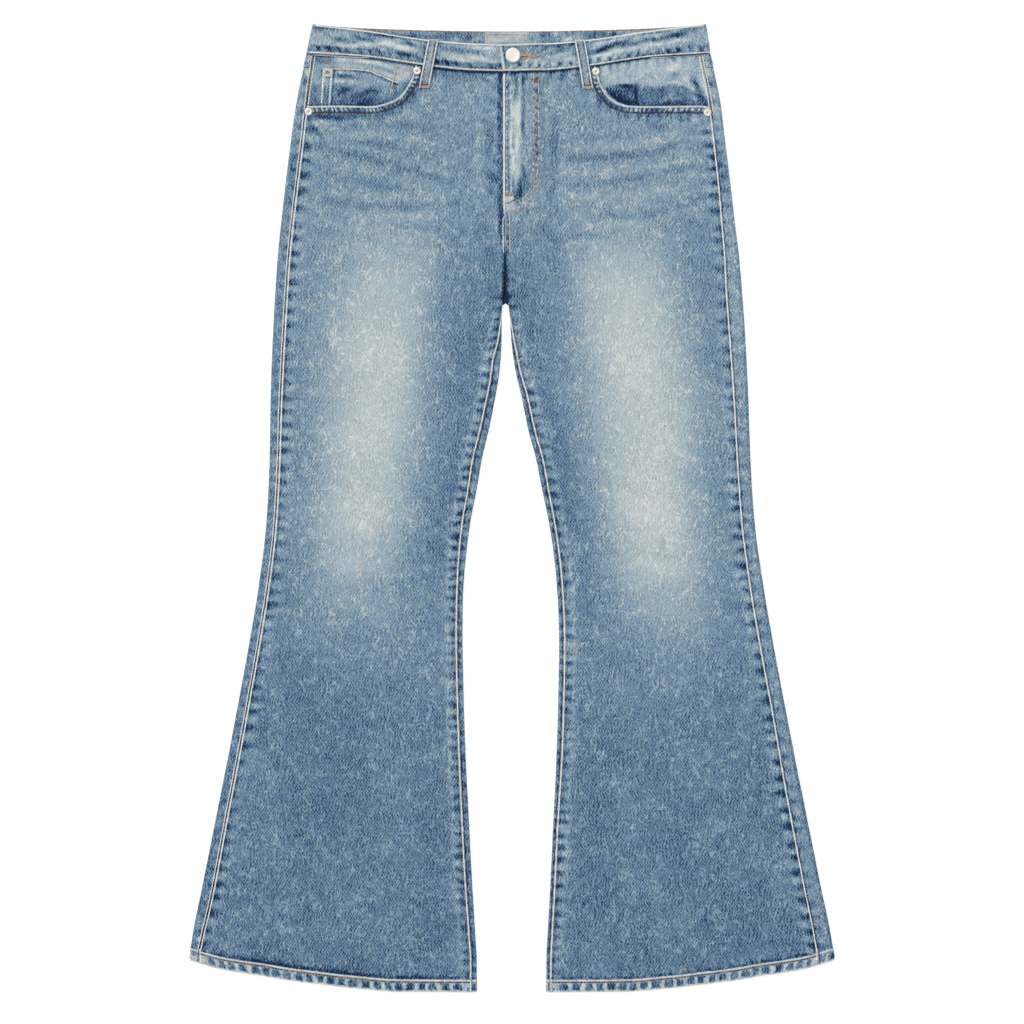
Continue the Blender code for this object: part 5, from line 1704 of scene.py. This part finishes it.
# Indigo from raw to bleached
FADE = [
    (0.0, (0.004, 0.018, 0.060)),
    (0.15, (0.018, 0.062, 0.145)),
    (0.35, (0.102, 0.190, 0.300)),
    (0.55, (0.195, 0.300, 0.400)),
    (0.75, (0.322, 0.425, 0.496)),
    (0.88, (0.440, 0.515, 0.545)),
    (0.94, (0.510, 0.570, 0.582)),
    (1.0, (0.640, 0.680, 0.670)),
]
RUST = (0.22, 0.105, 0.045)


def denim(name, crackle=1.0, shift=0.0):
    paint = Paint(name)
    plain = paint.coords()
    tone = paint.attribute("tone")
    # Dots of the weave: two slanted waves, gently warped, with random grain over them
    weave = paint.math("ADD", paint.wave(33, 2.75, 3.4, 7.0), paint.wave(-35, 2.65, 3.4, 6.0))
    grain = paint.noise(paint.coords((1.25, 0.85, 1)), 2.1, 1.0, 0.5)
    coarse = paint.noise(paint.coords((2.2, 0.55, 1)), 6.0, 2.0, 0.6, 0.5)
    mottle = paint.noise(plain, 26.0, 3.0, 0.6, 0.4)
    # Swirled strands in patches, like the whorls of a fingerprint, mostly upright
    strands = paint.remap(paint.wave(4, 3.7, 11.0, 15.0), 0.3, 1.0)
    patches = paint.remap(paint.noise(plain, 15.0, 1.0), 0.36, 0.56)
    # Light worn lines: the level lines of a swirled noise, broken up by a second one
    swirl = paint.noise(paint.coords((1.3, 0.75, 1)), 14.0, 1.0, 0.5, 1.4)
    line = paint.remap(paint.math("ABSOLUTE", paint.math("SUBTRACT", swirl, 0.5)), 0.008, 0.045, 1.0, 0.0)
    second = paint.noise(paint.coords((1.2, 0.8, 1), 37), 10.0, 1.0, 0.5, 1.8)
    line_two = paint.remap(paint.math("ABSOLUTE", paint.math("SUBTRACT", second, 0.47)), 0.008, 0.05, 1.0,
                           0.0)
    breaks = paint.remap(paint.noise(plain, 12.0, 1.0), 0.36, 0.56)
    lines = paint.math("MULTIPLY", paint.math("MAXIMUM", line, line_two), breaks)
    whorls = paint.math("MULTIPLY", paint.scaled(strands, 1.0, 0.5), patches)
    faded = paint.remap(tone, 0.55, 0.95, 1.0, 0.5)
    speckle = paint.total(
        paint.scaled(weave, 0.145, 1.0), paint.scaled(grain, 0.7), paint.scaled(coarse, 0.36),
        paint.scaled(mottle, 0.09),
        paint.math("MULTIPLY", lines, 0.26 * crackle), paint.math("MULTIPLY", whorls, 0.17 * crackle),
        -0.028,
    )
    level_now = paint.total(tone, paint.math("MULTIPLY", speckle, faded), shift)
    colour = paint.ramp(level_now, FADE)
    colour = paint.mix(paint.attribute("rust"), colour, RUST)
    height = paint.total(
        paint.scaled(weave, 0.6, 1.0), paint.math("MULTIPLY", lines, crackle),
        paint.math("MULTIPLY", whorls, 0.6 * crackle),
        paint.scaled(coarse, 1.2), paint.scaled(grain, 0.8),
    )
    normal = paint.bump(height, 0.0004, 1.0)
    return paint.finish(Base_Color=colour, Roughness=0.92, Normal=normal, Sheen_Weight=0.12,
                        Specular_IOR_Level=0.15)


def thread(name):
    paint = Paint(name)
    tone = paint.attribute("tone")
    twist = paint.node("ShaderNodeTexWave",
                       {"Vector": paint.coords((1, 1, 1), 20), "Scale": 700.0}).outputs[1]
    shade = paint.total(tone, paint.scaled(paint.noise(paint.coords(), 2.0), 0.2),
                        paint.scaled(twist, 0.05))
    stops = [
        (0.0, (0.055, 0.032, 0.022)), (0.25, (0.20, 0.09, 0.035)), (0.45, (0.42, 0.22, 0.095)),
        (0.65, (0.56, 0.43, 0.29)), (0.85, (0.72, 0.67, 0.56)), (1.0, (0.84, 0.83, 0.78)),
    ]
    return paint.finish(
        Base_Color=paint.ramp(shade, stops), Roughness=0.7, Normal=paint.bump(twist, 0.00012, 0.5),
        Sheen_Weight=0.1,
    )


def label_cloth(name):
    paint = Paint(name)
    tone = paint.attribute("tone")
    warp = paint.node("ShaderNodeTexWave", {"Vector": paint.coords(), "Scale": 620.0}).outputs[1]
    weft = paint.node("ShaderNodeTexWave", {"Vector": paint.coords(), "Scale": 620.0},
                      bands_direction="Y").outputs[1]
    weave = paint.math("MULTIPLY", warp, weft)
    shade = paint.total(tone, paint.scaled(weave, 0.16),
                        paint.scaled(paint.noise(paint.coords(), 7.0), 0.5))
    stops = [(0.0, (0.20, 0.25, 0.29)), (0.5, (0.37, 0.42, 0.45)), (1.0, (0.60, 0.62, 0.60))]
    return paint.finish(Base_Color=paint.ramp(shade, stops), Roughness=0.8,
                        Normal=paint.bump(weave, 0.0002, 0.6))


def metal(name):
    """Pale tack metal, brushed in fine turns and dulled; the tone attribute darkens it towards its rim with
    painted shade.
    """
    paint = Paint(name)
    scuffs = paint.noise(paint.coords((1, 1, 1)), 2.2, 3.0, 0.6)
    fine = paint.noise(paint.coords((6, 1, 1), 20), 2.0, 2.0, 0.6)
    shade = paint.total(paint.attribute("tone"), paint.scaled(scuffs, 0.35), paint.scaled(fine, 0.15))
    stops = [(0.0, (0.10, 0.08, 0.06)), (0.3, (0.42, 0.36, 0.29)), (0.6, (0.74, 0.69, 0.61)),
             (1.0, (0.90, 0.87, 0.81))]
    rough = paint.remap(scuffs, 0.3, 0.7, 0.34, 0.5)
    normal = paint.bump(paint.total(scuffs, fine), 0.00006, 0.5)
    return paint.finish(Base_Color=paint.ramp(shade, stops), Metallic=0.25, Roughness=rough, Normal=normal)


def zip_tape(name):
    paint = Paint(name)
    weave = paint.node("ShaderNodeTexWave",
                       {"Vector": paint.coords((1, 1, 1), 45), "Scale": 500.0}).outputs[1]
    shade = paint.total(paint.scaled(weave, 0.4), paint.noise(paint.coords(), 3.0))
    colour = paint.ramp(shade, [(0.2, (0.012, 0.022, 0.05)), (0.8, (0.05, 0.08, 0.14))])
    return paint.finish(Base_Color=colour, Roughness=0.8, Normal=paint.bump(weave, 0.0002, 0.6))


def floor_paint(name):
    paint = Paint(name)
    shade = paint.noise(paint.coords(), 600.0, 1.0)
    colour = paint.ramp(shade, [(0.2, (0.29, 0.29, 0.29)), (0.8, (0.31, 0.31, 0.31))])
    return paint.finish(Base_Color=colour, Roughness=1.0, Specular_IOR_Level=0.0,
                        Emission_Color=(1.0, 1.0, 1.0, 1.0),
                        Emission_Strength=0.8)


# ---------------------------------------------------------------- sewing
CREAM, PALE, ORANGE = 0.9, 0.98, 0.46
HIDDEN = {"pitch": 3.3, "length": 2.8, "width": 0.9, "height": 0.16, "tone": 0.5}  # on the underside


def sew_face(group, side, corners, lift=0.1, **looks):
    x, down = smooth_path(corners)
    sew(group, *face_line(side, x, down, lift), **looks)


def bartack(group, points, up, width=3.0, tone=ORANGE, **looks):
    """Close-packed stitches laid across a short line."""
    settings = {"pitch": 0.7, "length": width, "width": 0.62, "height": 0.55, "tone": tone, "across": 90}
    sew(group, points, up, **{**settings, **looks})


def sew_fronts():
    for side in SIDES:
        group = f"stitches_front_{side}"
        legs = np.linspace(98.0, 1040.0, 700)
        width = front_width(side, legs)
        sew(group, *front_line(side, legs, width - 1.5), pitch=3.1, length=3.8, width=1.3, tone=PALE)
        inner = np.linspace(FORK + 3, 1068.0, 600)
        sew(group, *front_line(side, inner, 1.6 + 0 * inner), pitch=3.0, length=3.7, width=1.3,
            tone=CREAM + 0.04)
        sew(group, *front_line(side, inner, 2.9 + 0 * inner), pitch=2.4, length=1.5, width=0.6, tone=0.3,
            vary=0.1)
        hem = np.linspace(0, 1, 400)
        x = between(inner_edge(side, HEM_START), outer_edge(side, HEM_START), hem)
        for _ in range(3):
            down = hem_edge(side, x) - HEM_STITCH
            at = front_width(side, down) * hem
            x, _ = front_place(side, down, at, 0.0)
        points, up = line_on(front_place, side, down, at, -0.05)
        sew(group, points[3:-3], up[3:-3], pitch=3.2, length=3.0, width=1.6, tone=0.15, vary=0.24)
        for from_edge in (width[-1] - 1.5, 1.6):
            low = hem_down(0.02 if from_edge > 9 else 0.98) - np.linspace(14.5, 0.8, 12)
            sew(group, *front_line(side, low, from_edge + 0 * low, 0.7), pitch=3.0, length=3.3, width=1.2,
                tone=PALE)
        points, up = welt_line(side, WELT_STITCH, 0.15)
        sew(group, points, up, pitch=2.9, length=2.6, width=0.7, tone=0.04, vary=0.08)


def sew_fly():
    group = "stitches_fly"
    edge = np.linspace(57.0, 207.0, 160)
    for from_edge, looks in (
        (1.4, {"pitch": 3.0, "length": 3.5, "width": 1.6, "tone": PALE}),
        (4.3, {"pitch": 7.2, "length": 2.6, "width": 1.1, "tone": PALE, "slip": 0.06}),
    ):
        sew(group, *front_line("left", edge, from_edge + 0 * edge), **looks)
    for corners in (
        [(24.0, 56), (24.2, 140), (22.8, 170), (20.0, 184), (14.6, 194), (4.6, 198.5)],
        [(29.6, 56), (30.0, 140), (27.8, 172), (24.2, 187), (20.0, 197), (13.6, 205), (4, 209.4),
         (-8, 210.4)],
    ):
        sew_face(group, "left", corners, pitch=3.2, length=3.0, width=1.15, tone=0.55, vary=0.3)
    for down in np.arange(96.0, 178.0, 10.5):
        bartack(group, *face_line("left", np.array([26.3, 27.5]), np.array([down, down + 0.6]), 0.1),
                width=1.6, tone=0.84)
    for down in (62.0, 83.5):
        bartack(group, *face_line("left", np.array([-4.0, -0.8]), np.array([down, down]), 0.15), width=2.0,
                tone=PALE)
    bartack(group, *face_line("left", np.linspace(-8.6, 2.6, 12), np.full(12, 191.6), 0.15), width=3.2,
            tone=0.5)
    bartack(group, *face_line("left", np.linspace(-7.6, 2.6, 10), np.linspace(202, 197.5, 10), 0.15),
            width=1.6, tone=0.3)
    for x, down in ((24.4, 185.5), (21.2, 195.4), (15.0, 203.8)):
        bartack(group, *face_line("left", np.array([x - 0.4, x + 0.4]), np.array([down, down]), 0.2),
                width=1.8, tone=PALE)
    bartack(group, *face_line("left", np.linspace(24.0, 29.8, 8), np.full(8, 64.0), 0.15), width=4.2,
            tone=0.32)
    crotch = np.linspace(211.0, 256.0, 60)
    sew(group, *front_line("right", crotch, 1.7 + 0 * crotch), pitch=3.0, length=3.3, width=1.1, tone=0.9)
    sew(group, *front_line("left", crotch, 5.4 + 0 * crotch), pitch=3.0, length=3.2, width=1.0, tone=0.74)
    bartack(group, *face_line("left", np.linspace(-6.4, -3.4, 6), np.full(6, 291.0), 0.1), width=1.6,
            tone=0.3)


def sew_backs():
    for side in SIDES:
        group = f"stitches_back_{side}"
        sign = SIGN[side]
        downs = np.linspace(100.0, 1040.0, 700)
        strip = outseam_inset[side](downs) - fold_radius(downs) - HALF_GAP
        share = 1 - 1.5 / strip
        if side == "right":
            sew(group, *back_line(side, downs, "strip", share), pitch=3.1, length=3.8, width=1.1,
                tone=CREAM + 0.04)
        seat = np.linspace(104.0, FORK - 2, 160)
        flat = np.abs(outer_edge(side, seat) - seat_x(seat)) - 2 * fold_radius(seat)
        for gap in (2.0, 7.5) if side == "left" else (2.0,):
            share = 1 - (gap - fold_radius(seat)) / flat
            share = np.minimum(share, 1.0)
            sew(group, *back_line(side, seat, "under", share), **HIDDEN)
        if side == "left":
            middle = place(seat_x(seat), seat, underside(seat) + 0.95)
            sew(group, middle, UP, pitch=2.4, length=3.4, width=0.6, height=0.2, tone=0.0, vary=0)
        for gap in (2.0, 8.0):
            under = np.linspace(0.02, 0.97, 240)
            down = yoke_seam(1 - under) - gap
            points, up = back_line(side, down, "under", under, 0.04)
            sew(group, points, up, **HIDDEN)
        x = between(outer_edge(side, HEM_START), inner_edge(side, HEM_START), np.linspace(0.02, 0.98, 320))
        down = hem_edge(side, x) - HEM_STITCH
        under = (x - outer_edge(side, down) + sign * fold_radius(down)) / (
            inner_edge(side, down) + 2 * sign * fold_radius(down) - outer_edge(side, down))
        points, up = back_line(side, down, "under", np.clip(under, 0, 1), -0.25)
        sew(group, points, up, pitch=3.2, length=2.7, width=1.0, height=0.3, tone=0.34)
        sew_back_pocket(group, side)


def back_line(side, down, zone, share, lift=0.0):
    return line_on(back_place, side, down, zone, share, -lift)


def sew_back_pocket(group, side):
    seam = seat_x(150.0)
    middle = BACK_POCKET.mean(axis=0)
    for inset in (2.2, 7.6):
        scale = 1 - inset / 70.0
        corners = middle + (BACK_POCKET - middle) * scale
        path = corners[[1, 2, 3, 4, 0]]
        for start, end in zip(path, path[1:]):
            line = between(start, end, np.linspace(0, 1, 60)[:, None])
            points = place(seam + SIGN[side] * line[:, 0], line[:, 1], 0.12 + 0 * line[:, 0])
            sew(group, points, BENEATH, **HIDDEN)
    for inset in (2.2, 12.0):
        line = between(BACK_POCKET[0] + (1.5, inset), BACK_POCKET[1] + (-1.5, inset),
                       np.linspace(0, 1, 60)[:, None])
        points = place(seam + SIGN[side] * line[:, 0], line[:, 1], 0.12 + 0 * line[:, 0])
        sew(group, points, BENEATH, **HIDDEN)


def sew_yoke_strips():
    """The ends of the yoke seams, and of the pocket mouths, where they reach the upper side."""
    for side in SIDES:
        group = f"stitches_side_{side}"
        share = np.linspace(0.06, 0.94, 12)
        for gap, tone in ((2.0, 0.3), (7.4, 0.34)):
            down = np.full(12, float(yoke_seam(1.0))) - gap
            sew(group, *back_line(side, down, "strip", share, 0.2), pitch=2.6, length=2.0, width=0.9,
                tone=tone)
        down = np.linspace(52.0, 58.5, 12)
        bartack(group, *back_line(side, down, "strip", np.full(12, 0.55), 0.1), width=4.6, tone=0.84)
        down = np.linspace(36.0, 96.0, 60)
        strip = outseam_inset[side](down) - fold_radius(down) - HALF_GAP
        sew(group, *back_line(side, down, "strip", 1 - 1.6 / strip, 0.15), pitch=3.0, length=3.5,
            width=1.2, tone=0.84)
        seam = outer_edge(side, down) - SIGN[side] * (outseam_inset[side](down) + 1.8)
        base = top_height(side, seam, down) - 1.5 - (1.3 if side == "right" else 0.0)
        sew(group, place(seam, down, base + 0.25), UP, pitch=3.0, length=3.5, width=1.3, tone=PALE)


def sew_band():
    group = "stitches_band"
    stations = band_stations()
    front = [s for s in stations if s[1] != "back"]
    right = [s for s in front if s[0] == "right" and s[1] == "front"]
    left = [s for s in front if s[0] == "left" and s[1] in ("front", "lap")]
    back = [s for s in stations if s[1] == "back"]
    for part, edge_tone, low_tone in ((right, PALE, 0.86), (left, PALE, 0.86), (back, 0.5, 0.5)):
        part = part[:-3] if part is left else part[2:] if part is right else part
        lift = -0.1 if part is back else 0.1
        sew(group, *band_line(part, 1.5, lift), pitch=3.1, length=3.8, width=1.2, tone=edge_tone, vary=0.1)
        sew(group, *band_line(part, -1.7, lift), pitch=3.1, length=3.8, width=1.3, tone=low_tone, vary=0.16)
    inside = []
    for side, zone, share in back:
        upper, _ = band_edges(side, zone, share)
        inside.append(on(band_place, side, upper + 1.1, zone, share, BAND_CLOTH + 0.05))
    sew(group, np.array(inside), UP, pitch=2.7, length=2.6, width=1.3, tone=0.42, vary=0.14)
    down = np.linspace(25.5, 52.0, 40)
    x = band_end(down) + 1.5
    face = lap_face(down) + GAP
    sew(group, place(x, down, face), UP, pitch=2.9, length=2.5, width=0.9, tone=PALE)


def sew_buttonhole():
    """Close stitches round the hole, from beside the button to its narrow end."""
    group = "buttonhole"
    x = np.linspace(9.5, 28.0, 60)
    half = 0.3 + between(2.3, 0.0, ease(x, 4.0, 28.0))
    face = float(lap_face(BUTTON_DOWN)) + 0.15
    for sign in (-1, 1):
        points = place(x, BUTTON_DOWN + 1.4 + sign * half, face + 0 * x)
        sew(group, points, UP, pitch=0.62, length=2.8, width=0.72, height=0.6, tone=0.55, vary=0.16,
            across=90)
    tail = np.linspace(27.0, 30.6, 10)
    points = place(tail, BUTTON_DOWN + 1.4 + 0 * tail, face + 0 * tail)
    sew(group, points, UP, pitch=0.6, length=2.6, width=0.7, height=0.6, tone=0.36, across=90)


def sew_pockets():
    group = "stitches_coin_pocket"
    for x_top, x_low in ((-210.8, -213.4), (-201.8, -204.4)):
        down = np.linspace(51.0, 88.5, 40)
        x = between(x_top, x_low, np.linspace(0, 1, 40))
        base = top_height("right", x, down) - 1.5
        sew(group, place(x, down, base + 0.3), UP, pitch=2.9, length=2.9, width=1.5, tone=PALE)
    x = np.linspace(-212.0, -128.0, 120)
    down = coin_top(x) + 0.9
    base = top_height("right", x, down) - 1.5
    sew(group, place(x, down, base + 0.25), UP, pitch=2.8, length=3.2, width=1.3, tone=0.84, vary=0.16)
    down = np.linspace(46.0, 81.0, 40)
    x = np.linspace(-129.5, -137.0, 40)
    base = top_height("right", x, down) - 1.5
    sew(group, place(x, down, base + 0.25), UP, pitch=2.8, length=3.2, width=1.3, tone=0.7)
    for x, down_from, down_to, width, tone in (
        (-206.9, 35.0, 44.6, 1.6, 0.5), (-200.2, 47.6, 56.4, 1.5, 0.5), (-206.0, 50.2, 52.4, 9.4, 0.95),
        (-206.4, 56.4, 58.8, 9.0, 0.95), (-209.6, 52.4, 56.4, 2.6, 0.92), (-203.2, 52.4, 56.4, 2.4, 0.92),
    ):
        down = np.linspace(down_from, down_to, 20)
        base = top_height("right", np.full(20, x), down) - 1.5
        bartack(group, place(np.full(20, x), down, base + 0.4), UP, width=width, tone=tone)


def sew_loops():
    group = "stitches_loops"
    for top_x, top_down, low_x, low_down in FRONT_LOOPS.values():
        share = np.linspace(0.03, 0.97, 50)
        down = between(top_down, low_down, share)
        height = edge_height(down) + BAND_PROUD + GAP + loop_rise(share) + LOOP_CLOTH
        for off in (-4.9, 4.9):
            x = between(top_x, low_x, share) + off
            sew(group, place(x, down, height), UP, pitch=2.9, length=2.7, width=1.1, tone=PALE)
        for at, tone, width in ((0.025, 0.9, 1.8), (0.93, 0.2, 1.8), (0.968, 0.62, 2.2)):
            x = between(top_x, low_x, at) + np.linspace(-5.2, 5.2, 12)
            down = np.full(12, between(top_down, low_down, at))
            z = edge_height(down) + BAND_PROUD + GAP + float(loop_rise(np.array(at))) + LOOP_CLOTH + 0.05
            bartack(group, place(x, down, z), UP, width=width, tone=tone)
    for x_mid in BACK_LOOPS.values():
        top = float(back_top(waist_share(x_mid))) + 0.5
        for off in (-4.3, 4.3):
            down = np.linspace(top + 2, top + 52, 40)
            points = place(np.full(40, x_mid + off), down, np.full(40, 0.12))
            sew(group, points, BENEATH, pitch=2.9, length=2.4, width=0.8, height=0.16, tone=0.6)


def label_stitches():
    group = "stitches_label"
    for x0, x1, d0, d1 in ((-29, 16, 10.2, 10.2), (-29, -29, 10.2, 24), (16, 16, 10.2, 24)):
        x, down = np.linspace(x0, x1, 30), np.linspace(d0, d1, 30)
        points = place(x, down, np.full(30, 4.3))
        sew(group, points, UP, pitch=2.4, length=1.9, width=0.5, height=0.3, tone=0.92)


def fray():
    """Loose white ends along the worn lower edge of each hem."""
    for side in SIDES:
        group = f"hem_fray_{side}"
        share = np.linspace(0.005, 0.995, 300)
        x = between(inner_edge(side, 1075.0), outer_edge(side, 1075.0), share)
        down = hem_edge(side, x) + 0.15
        for depth, pitch in ((0.4, 0.9), (1.1, 1.2), (1.8, 1.1)):
            points = place(x, down, top_height(side, x, down) - depth)
            out = (0.0, -0.35, 1.0)
            sew(group, points, out, pitch=pitch, length=1.9, width=0.36, height=0.25, tone=0.97, vary=0.06,
                across=78,
                slip=0.45)
            sew(group, points, out, pitch=pitch * 2.1, length=2.0, width=0.3, height=0.25, tone=0.9,
                across=24, slip=0.45)


# ---------------------------------------------------------------- building
def build():
    cloth = denim("denim_washed")
    inside = denim("denim_facing", 0.8, -0.02)
    cotton = thread("sewing_thread")
    woven = label_cloth("label_weave")
    tack = metal("tack_metal")

    for side in SIDES:
        declare(back_panel(side), cloth, "denim", f"back_panel_{side}")
        declare(hem_back(side), cloth, "denim")
        declare(front_panel(side), cloth, "denim", f"front_panel_{side}")
        declare(hem_front(side), cloth, "denim")
        declare(mouth_welt(side), cloth, "denim")
        declare(back_yoke(side), cloth, "denim", f"back_yoke_{side}")
        declare(back_pocket(side), cloth, "denim", f"back_pocket_{side}")
        declare(pocket_facing(side), inside, "facing_denim", f"pocket_facing_{side}")
        name = f"belt_loop_front_{side}"
        declare(front_loop(side, name), cloth, "denim", name)
    declare(waistband(), cloth, "denim", "waistband")
    declare(coin_pocket(), cloth, "denim", "coin_pocket")
    for name, x in BACK_LOOPS.items():
        declare(back_loop(name, x), cloth, "denim", name)
    declare(waist_label(), woven, "label_cloth", "waist_label")
    metal_pieces(tack)
    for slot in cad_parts["fly_zip"].material_slots:
        slot.material = zip_tape("zip_weave")
    sew_fronts()
    sew_fly()
    sew_backs()
    sew_yoke_strips()
    sew_band()
    sew_buttonhole()
    sew_pockets()
    sew_loops()
    label_stitches()
    fray()
    thread_objects(cotton)


SKY = 0.55
# Suns: strength, softness in degrees, lean from straight down, and turn: from the upper left
LAMPS = (("key", 1.5, 14.0, -42.0, 38.0), ("fill", 0.5, 40.0, 30.0, 20.0))


def stage():
    mesh = bpy.data.meshes.new("floor")
    reach, low = 6.0, -0.0006
    corners = [(x * reach, y * reach, low) for x, y in ((-1, -1), (1, -1), (1, 1), (-1, 1))]
    mesh.from_pydata(corners, [], [(0, 1, 2, 3)])
    floor = bpy.data.objects.new("floor", mesh)
    bpy.context.scene.collection.objects.link(floor)
    floor.data.materials.append(floor_paint("floor_white"))
    world = bpy.data.worlds.new("studio")
    world.use_nodes = True
    world.node_tree.nodes["Background"].inputs[0].default_value = (1.0, 1.0, 1.0, 1.0)
    world.node_tree.nodes["Background"].inputs[1].default_value = SKY
    bpy.context.scene.world = world
    for name, strength, spread_angle, tilt, turn in LAMPS:
        lamp = bpy.data.lights.new(name, "SUN")
        lamp.energy = strength
        lamp.angle = math.radians(spread_angle)
        made = bpy.data.objects.new(name, lamp)
        made.rotation_euler = (math.radians(tilt), 0.0, math.radians(turn))
        bpy.context.scene.collection.objects.link(made)


def camera():
    eye = bpy.data.cameras.new("camera")
    eye.lens = 85.0
    eye.sensor_width = 36.0
    eye.clip_end = 20.0
    made = bpy.data.objects.new("camera", eye)
    made.location = (0.0, -0.00448, 2.7135)
    bpy.context.scene.collection.objects.link(made)
    bpy.context.scene.camera = made
    bpy.context.scene.view_settings.view_transform = "Standard"


build()
stage()
camera()
